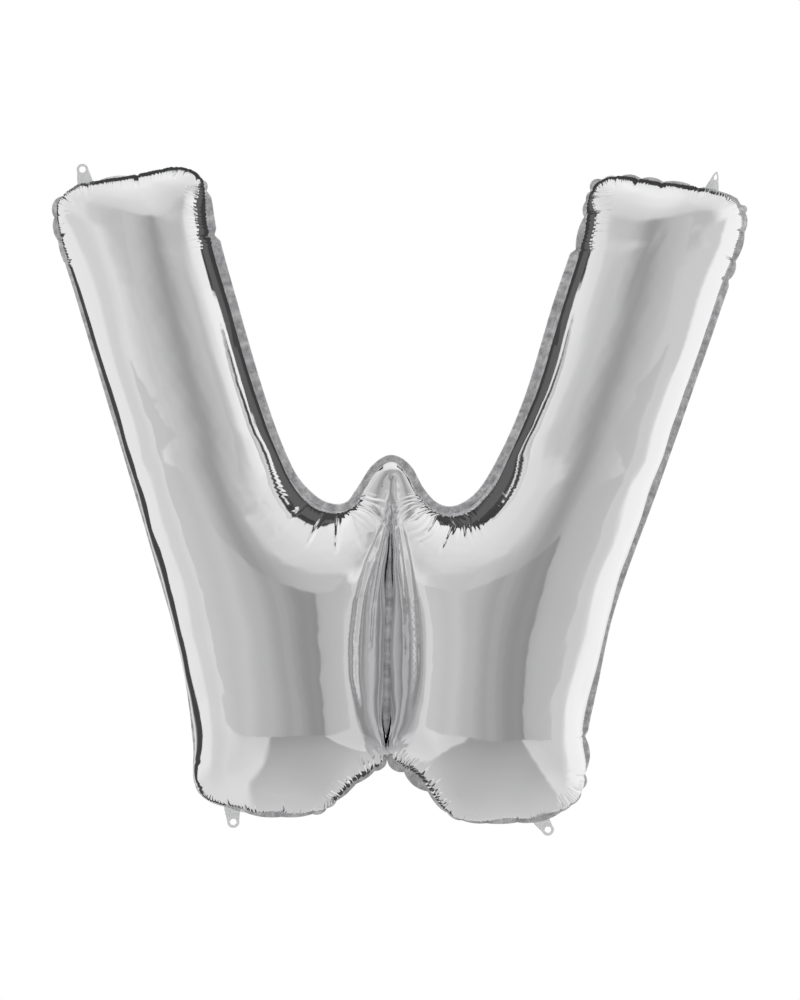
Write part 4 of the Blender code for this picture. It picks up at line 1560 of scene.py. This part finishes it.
@dataclass
class HangingTab:
    """One clear tab with a punched hole."""

    node: str
    root: Pair
    hole: Pair
    neck: float
    foot: float
    bore: float
    twist: float
    bend: float
    thick: float = 0.5
    # The sheet's thickness at its edge and its bore, as a share.
    rim: float = 0.6
    rings: int = 7
    count: int = 72

    def outline(self, turns: Array) -> Array:
        """The tab's outline, with x across and z along from its root to its round end.

        Args:
            turns: Directions from the hole, in radians from its round end.

        Returns:
            The outline's points.
        """
        length = math.dist(self.root, self.hole)
        half = self.neck / 2
        points = []
        for a in turns:
            direction = np.array([math.sin(a), math.cos(a)])
            reach = half
            if direction[1] < 0:
                grown = half + (self.foot / 2 - half) * (-direction[1]) ** 3
                reach = min(grown / max(abs(direction[0]), 1e-6), length / -direction[1])
            points.append(direction * reach)
        return np.array(points)

    def build(self, material: bpy.types.Material) -> bpy.types.Object:
        """Make the tab as a closed thin sheet.

        Args:
            material: The clear film.

        Returns:
            The tab.
        """
        turns = np.linspace(0, 2 * math.pi, self.count, endpoint=False)
        outline = self.outline(turns)
        bore = np.stack([np.sin(turns), np.cos(turns)], 1) * self.bore / 2
        root, hole = np.array(self.root), np.array(self.hole)
        length = np.linalg.norm(hole - root)
        along = (hole - root) / length
        across = np.array([along[1], -along[0]])
        layers = []
        for side in (-1, 1):
            for k in np.linspace(0, 1, self.rings):
                flat = bore * (1 - k) + outline * k
                share = np.clip((flat[:, 1] + length) / length, 0, 1.5)
                angle = np.radians(self.twist) * share
                y = side * self.thick / 2 * (1 if 0 < k < 1 else self.rim)
                x = flat[:, 0] * np.cos(angle) - y * np.sin(angle)
                lift = flat[:, 0] * np.sin(angle) + y * np.cos(angle) + self.bend * share**2
                where = hole + x[:, None] * across + flat[:, 1][:, None] * along
                layers.append(np.stack([where[:, 0], lift, where[:, 1]], 1))
        faces = wrapped(self.count, self.rings)
        made = mesh_object(f"clear_{self.node}", np.vstack(layers), faces, material)
        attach(made, ROOT)
        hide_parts(self.node)
        return made


def grey_ramp(
    tree: bpy.types.NodeTree,
    value: bpy.types.NodeSocket,
    most: float,
    stops: Iterable[Pair],
    step: float = 1.0,
) -> bpy.types.NodeSocket:
    """Read a table of grey levels.

    Args:
        tree: The tree that the nodes join.
        value: What the levels go by.
        most: The last place that the table can hold; the first is as far below nought.
        stops: Place and grey level.
        step: What one step of the table's places is in the value's own unit.

    Returns:
        The grey level.
    """
    span = {"Value": value, "From Min": -most * step, "From Max": most * step}
    share = add_node(tree, "ShaderNodeMapRange", span).outputs["Result"]
    ramp = add_node(tree, "ShaderNodeValToRGB", {"Fac": share})
    elements = ramp.color_ramp.elements
    first, *middle, last = [(place / (2 * most) + 0.5, (level, level, level, 1)) for place, level in stops]
    elements[0].position, elements[0].color = first
    elements[1].position, elements[1].color = last
    for place, colour in middle:
        elements.new(place).color = colour
    return ramp.outputs["Color"]


class Axis(IntEnum):
    """An axis of the room."""

    X = 0
    Y = 1
    Z = 2


@dataclass(frozen=True)
class Card:
    """A card of evenly lit cloth that only shows in the film. Its sizes are metres.

    It is a black flag, unless it has stops of its own.
    """

    name: str
    middle: tuple[float, float, float]
    size: tuple[float, float, float]
    # Sheer edges. Columns: axis, where the cloth is gone, where it is full.
    sheer: tuple[tuple[Axis, float, float], ...] = ()
    # The axis along which the grey changes, and the place and brightness along it.
    along: Axis = Axis.Y
    stops: tuple[Pair, ...] = ((0.0, 0.06), (1.0, 0.06))
    # The last place that the stops can hold.
    most: float = 2.5

    def cloth(self) -> bpy.types.Material:
        """The card's cloth, which thins out to nothing at its sheer edges."""
        made, tree = new_material(f"{self.name}_cloth")
        place = add_node(tree, "ShaderNodeTexCoord", {}).outputs["Object"]
        parts = add_node(tree, "ShaderNodeSeparateXYZ", {0: place}).outputs
        tone = grey_ramp(tree, parts[self.along], self.most, self.stops)
        shader = add_node(tree, "ShaderNodeEmission", {"Color": tone}).outputs[0]
        for edge, gone, full in self.sheer:
            span = {"Value": parts[edge], "From Min": gone, "From Max": full}
            weave = add_node(tree, "ShaderNodeMapRange", span, interpolation_type="SMOOTHSTEP")
            gap = add_node(tree, "ShaderNodeBsdfTransparent", {}).outputs[0]
            mix = {0: weave.outputs["Result"], 1: gap, 2: shader}
            shader = add_node(tree, "ShaderNodeMixShader", mix).outputs[0]
        add_node(tree, "ShaderNodeOutputMaterial", {"Surface": shader})
        return made

    def build(self) -> bpy.types.Object:
        """Hang the card."""
        one, other = (np.eye(3)[k] * size / 2 for k, size in enumerate(self.size) if size > 0)
        middle = np.array(self.middle)
        corners = [middle + a * one + b * other for a, b in ((-1, -1), (1, -1), (1, 1), (-1, 1))]
        return mesh_object(self.name, np.array(corners) / MM, [[0, 1, 2, 3]], self.cloth())


@dataclass
class Studio:
    """The plain studio: a pale floor, soft light all round, and the camera. Its sizes are metres."""

    distance: float = 3.5
    frame_height: float = 1.385
    sensor_mm: float = 36.0
    floor_drop: float = 1.15
    floor_radius: float = 2.2
    floor_corners: int = 96
    dome_radius: float = 6.0
    dome_sides: int = 48
    # What the film sees round it at eye level. Columns: degrees from the camera's
    # side, positive to the right, and brightness.
    round_about: tuple[Pair, ...] = (
        (-180, 0.60), (-136, 0.88), (-95, 0.86), (-88, 0.71), (-75, 0.70), (-60, 0.79), (-48, 0.70),
        (-38, 0.62), (-24, 0.63), (-12, 0.58), (24, 0.56), (38, 0.60), (52, 0.63), (60, 0.65),
        (86, 0.66), (92, 0.97), (135, 1.0), (180, 0.60),
    )
    # The same, from a little way up.
    round_above: tuple[Pair, ...] = (
        (-180, 0.60), (-136, 0.88), (-92, 0.86), (-76, 0.80), (-68, 0.78), (-60, 0.66), (-48, 0.60),
        (-30, 0.56), (30, 0.54), (56, 0.54), (62, 0.62), (70, 0.80), (80, 0.92), (92, 0.97),
        (135, 1.0), (180, 0.60),
    )
    # Degrees up over which the first table gives way to the second.
    above: Pair = (3.0, 11.0)
    # How much of that is replaced by ceiling or floor. Columns: degrees up, share, brightness.
    up_and_down: tuple[tuple[float, float, float], ...] = (
        (-90, 1.0, 0.80), (-50, 1.0, 0.76), (-30, 0.6, 0.70), (-15, 0.0, 0.60), (25, 0.0, 0.70),
        (34, 0.6, 0.76), (60, 1.0, 0.84), (90, 1.0, 1.0),
    )
    cards: tuple[Card, ...] = (
        Card(
            "flag_in_gap", (0.0, 0.345, 0.24), (0.0, 0.63, 0.8),
            ((Axis.Y, 0.66, 0.36), (Axis.Z, -0.16, -0.02)),
            stops=((0.13, 0.12), (0.17, 0.05)),
        ),
        Card("flag_shelf", (0.0, 0.46, 0.30), (0.52, 0.76, 0.0), ((Axis.Y, 0.84, 0.44),)),
        Card("flag_left", (-0.76, 0.62, 0.0), (0.0, 0.74, 1.3), ((Axis.Y, 0.99, 0.55),)),
        Card("flag_foot", (-0.57, 0.6, -0.72), (0.66, 0.7, 0.0), ((Axis.Y, 0.95, 0.55),)),
        Card("flag_notch", (-0.015, 0.25, -0.48), (0.13, 0.4, 0.0), ((Axis.Y, 0.45, 0.25),)),
        Card(
            "flag_above", (0.0, 0.48, 0.66), (1.3, 0.8, 0.0), ((Axis.Y, 0.88, 0.48),),
            stops=((0.0, 0.05), (1.0, 0.05)),
        ),
        Card("dark_end", (0.45, -1.8, 0.3), (3.4, 0.0, 2.4), ((Axis.Z, 1.5, 1.05),), Axis.X, (
            (-1.25, 0.60), (-0.85, 0.57), (-0.55, 0.50), (-0.30, 0.44), (0.0, 0.37), (0.24, 0.355),
            (0.50, 0.40), (0.84, 0.48), (1.13, 0.515), (1.5, 0.545), (2.1, 0.59),
        )),
        Card("near_wall", (0.0, -0.6, -0.255), (2.8, 0.0, 0.61), (), Axis.X, (
            (-1.4, 0.62), (-0.96, 0.605), (-0.65, 0.57), (-0.5, 0.585), (-0.42, 0.595), (-0.36, 0.56),
            (-0.28, 0.51), (-0.18, 0.49), (-0.08, 0.40), (-0.04, 0.385), (-0.02, 0.41), (0.04, 0.40),
            (0.05, 0.37), (0.11, 0.345), (0.115, 0.325), (0.18, 0.30), (0.25, 0.315), (0.335, 0.285),
            (0.345, 0.45), (0.40, 0.48), (0.5, 0.505), (0.6, 0.515), (0.8, 0.53), (1.05, 0.545),
            (1.4, 0.575),
        )),
        Card(
            "near_floor", (0.045, -0.2, -0.56), (0.55, 0.8, 0.0),
            ((Axis.X, -0.23, -0.19), (Axis.X, 0.32, 0.29)),
            stops=((-0.60, 0.34), (-0.45, 0.38), (-0.26, 0.455), (-0.10, 0.54), (0.0, 0.60), (0.2, 0.66)),
        ),
        Card(
            "bright_side", (1.2, 0.11, -0.68), (0.0, 0.78, 1.26),
            ((Axis.Y, -0.28, 0.16), (Axis.Z, -1.31, -0.8)),
            stops=((-0.3, 0.93), (0.5, 0.98)),
        ),
    )

    def dome_material(self) -> bpy.types.Material:
        """The light of the room by direction: bright sides, a darker opening at the camera."""
        made, tree = new_material("room_light")
        place = add_node(tree, "ShaderNodeTexCoord", {}).outputs["Object"]
        direction = add_node(tree, "ShaderNodeVectorMath", {0: place}, operation="NORMALIZE").outputs[0]
        parts = add_node(tree, "ShaderNodeSeparateXYZ", {0: direction}).outputs
        facing = add_node(tree, "ShaderNodeMath", {0: parts["Y"], 1: -1.0}, operation="MULTIPLY").outputs[0]
        turn = add_node(tree, "ShaderNodeMath", {0: parts["X"], 1: facing}, operation="ARCTAN2").outputs[0]
        rise = add_node(tree, "ShaderNodeMath", {0: parts["Z"]}, operation="ARCSINE").outputs[0]
        degree = math.radians(1)
        around = grey_ramp(tree, turn, 180, self.round_about, degree)
        higher = grey_ramp(tree, turn, 180, self.round_above, degree)
        low, high = (math.radians(a) for a in self.above)
        up = add_node(tree, "ShaderNodeMapRange", {"Value": rise, "From Min": low, "From Max": high})
        sides = add_node(tree, "ShaderNodeMixRGB", {0: up.outputs["Result"], 1: around, 2: higher}).outputs[0]
        share = grey_ramp(tree, rise, 90, [(a, s) for a, s, _ in self.up_and_down], degree)
        level = grey_ramp(tree, rise, 90, [(a, b) for a, _, b in self.up_and_down], degree)
        mixed = add_node(tree, "ShaderNodeMixRGB", {0: share, 1: sides, 2: level}).outputs[0]
        glow = add_node(tree, "ShaderNodeEmission", {"Color": mixed}).outputs[0]
        add_node(tree, "ShaderNodeOutputMaterial", {"Surface": glow})
        return made

    def unseen(self, thing: bpy.types.Object) -> None:
        """Keep a stage piece out of the camera's own sight and out of clear film."""
        thing.visible_camera = False
        thing.visible_transmission = False
        thing.visible_shadow = False

    def build(self) -> None:
        """Set up the world, the floor, the room and the camera."""
        world = bpy.data.worlds.new("white_room")
        bpy.context.scene.world = world
        bpy.context.scene.view_settings.view_transform = "Standard"
        world.use_nodes = True
        background = world.node_tree.nodes["Background"].inputs
        background["Color"].default_value = (1, 1, 1, 1)
        background["Strength"].default_value = 1.0

        count = self.floor_corners
        turns = np.linspace(0, 2 * math.pi, count, endpoint=False)
        disc = np.stack([np.sin(turns), np.cos(turns), np.zeros(count)], 1) * self.floor_radius / MM
        disc[:, 2] = -self.floor_drop / MM
        made, tree = new_material("pale_studio_floor")
        shader = add_node(tree, "ShaderNodeBsdfDiffuse", {"Color": linear("FFFFFF"), "Roughness": 0.5})
        add_node(tree, "ShaderNodeOutputMaterial", {"Surface": shader.outputs[0]})
        floor = mesh_object("pale_floor", disc, [list(range(count - 1, -1, -1))], made)
        floor.visible_glossy = False

        bpy.ops.mesh.primitive_uv_sphere_add(
            segments=self.dome_sides, ring_count=self.dome_sides // 2, radius=self.dome_radius
        )
        dome = bpy.context.object
        dome.name = "room"
        dome.data.materials.append(self.dome_material())
        self.unseen(dome)
        for card in self.cards:
            self.unseen(card.build())

        data = bpy.data.cameras.new("camera")
        camera = bpy.data.objects.new("camera", data)
        camera.location = (0, -self.distance, 0)
        camera.rotation_euler = (math.pi / 2, 0, 0)
        data.sensor_width = self.sensor_mm
        data.lens = data.sensor_width * self.distance / self.frame_height
        bpy.context.scene.collection.objects.link(camera)
        bpy.context.scene.camera = camera


def main() -> None:
    """Build the balloon and its studio, in order."""
    logging.basicConfig(level=logging.INFO, format="%(message)s")
    line, blown, weld = ClosedLine(FLAT_CUT), ClosedLine(SEAM), WeldLine()
    carry = Carry(line, blown)
    for film in Envelope(line, blown, carry, weld).build():
        log.info("built %s", film.name)
    log.info("built %s", EdgeSeal(blown).build().name)
    log.info("built %s", CentreWeld(weld).build().name)
    clear = ClearTabFilm().make()
    for node, x, z, hole_x, hole_z, neck, foot, bore, twist, bend in TABS:
        tab = HangingTab(node, (x, z), (hole_x, hole_z), neck, foot, bore, twist, bend)
        log.info("built %s", tab.build(clear).name)
    Studio().build()


if __name__ == "__main__":
    main()
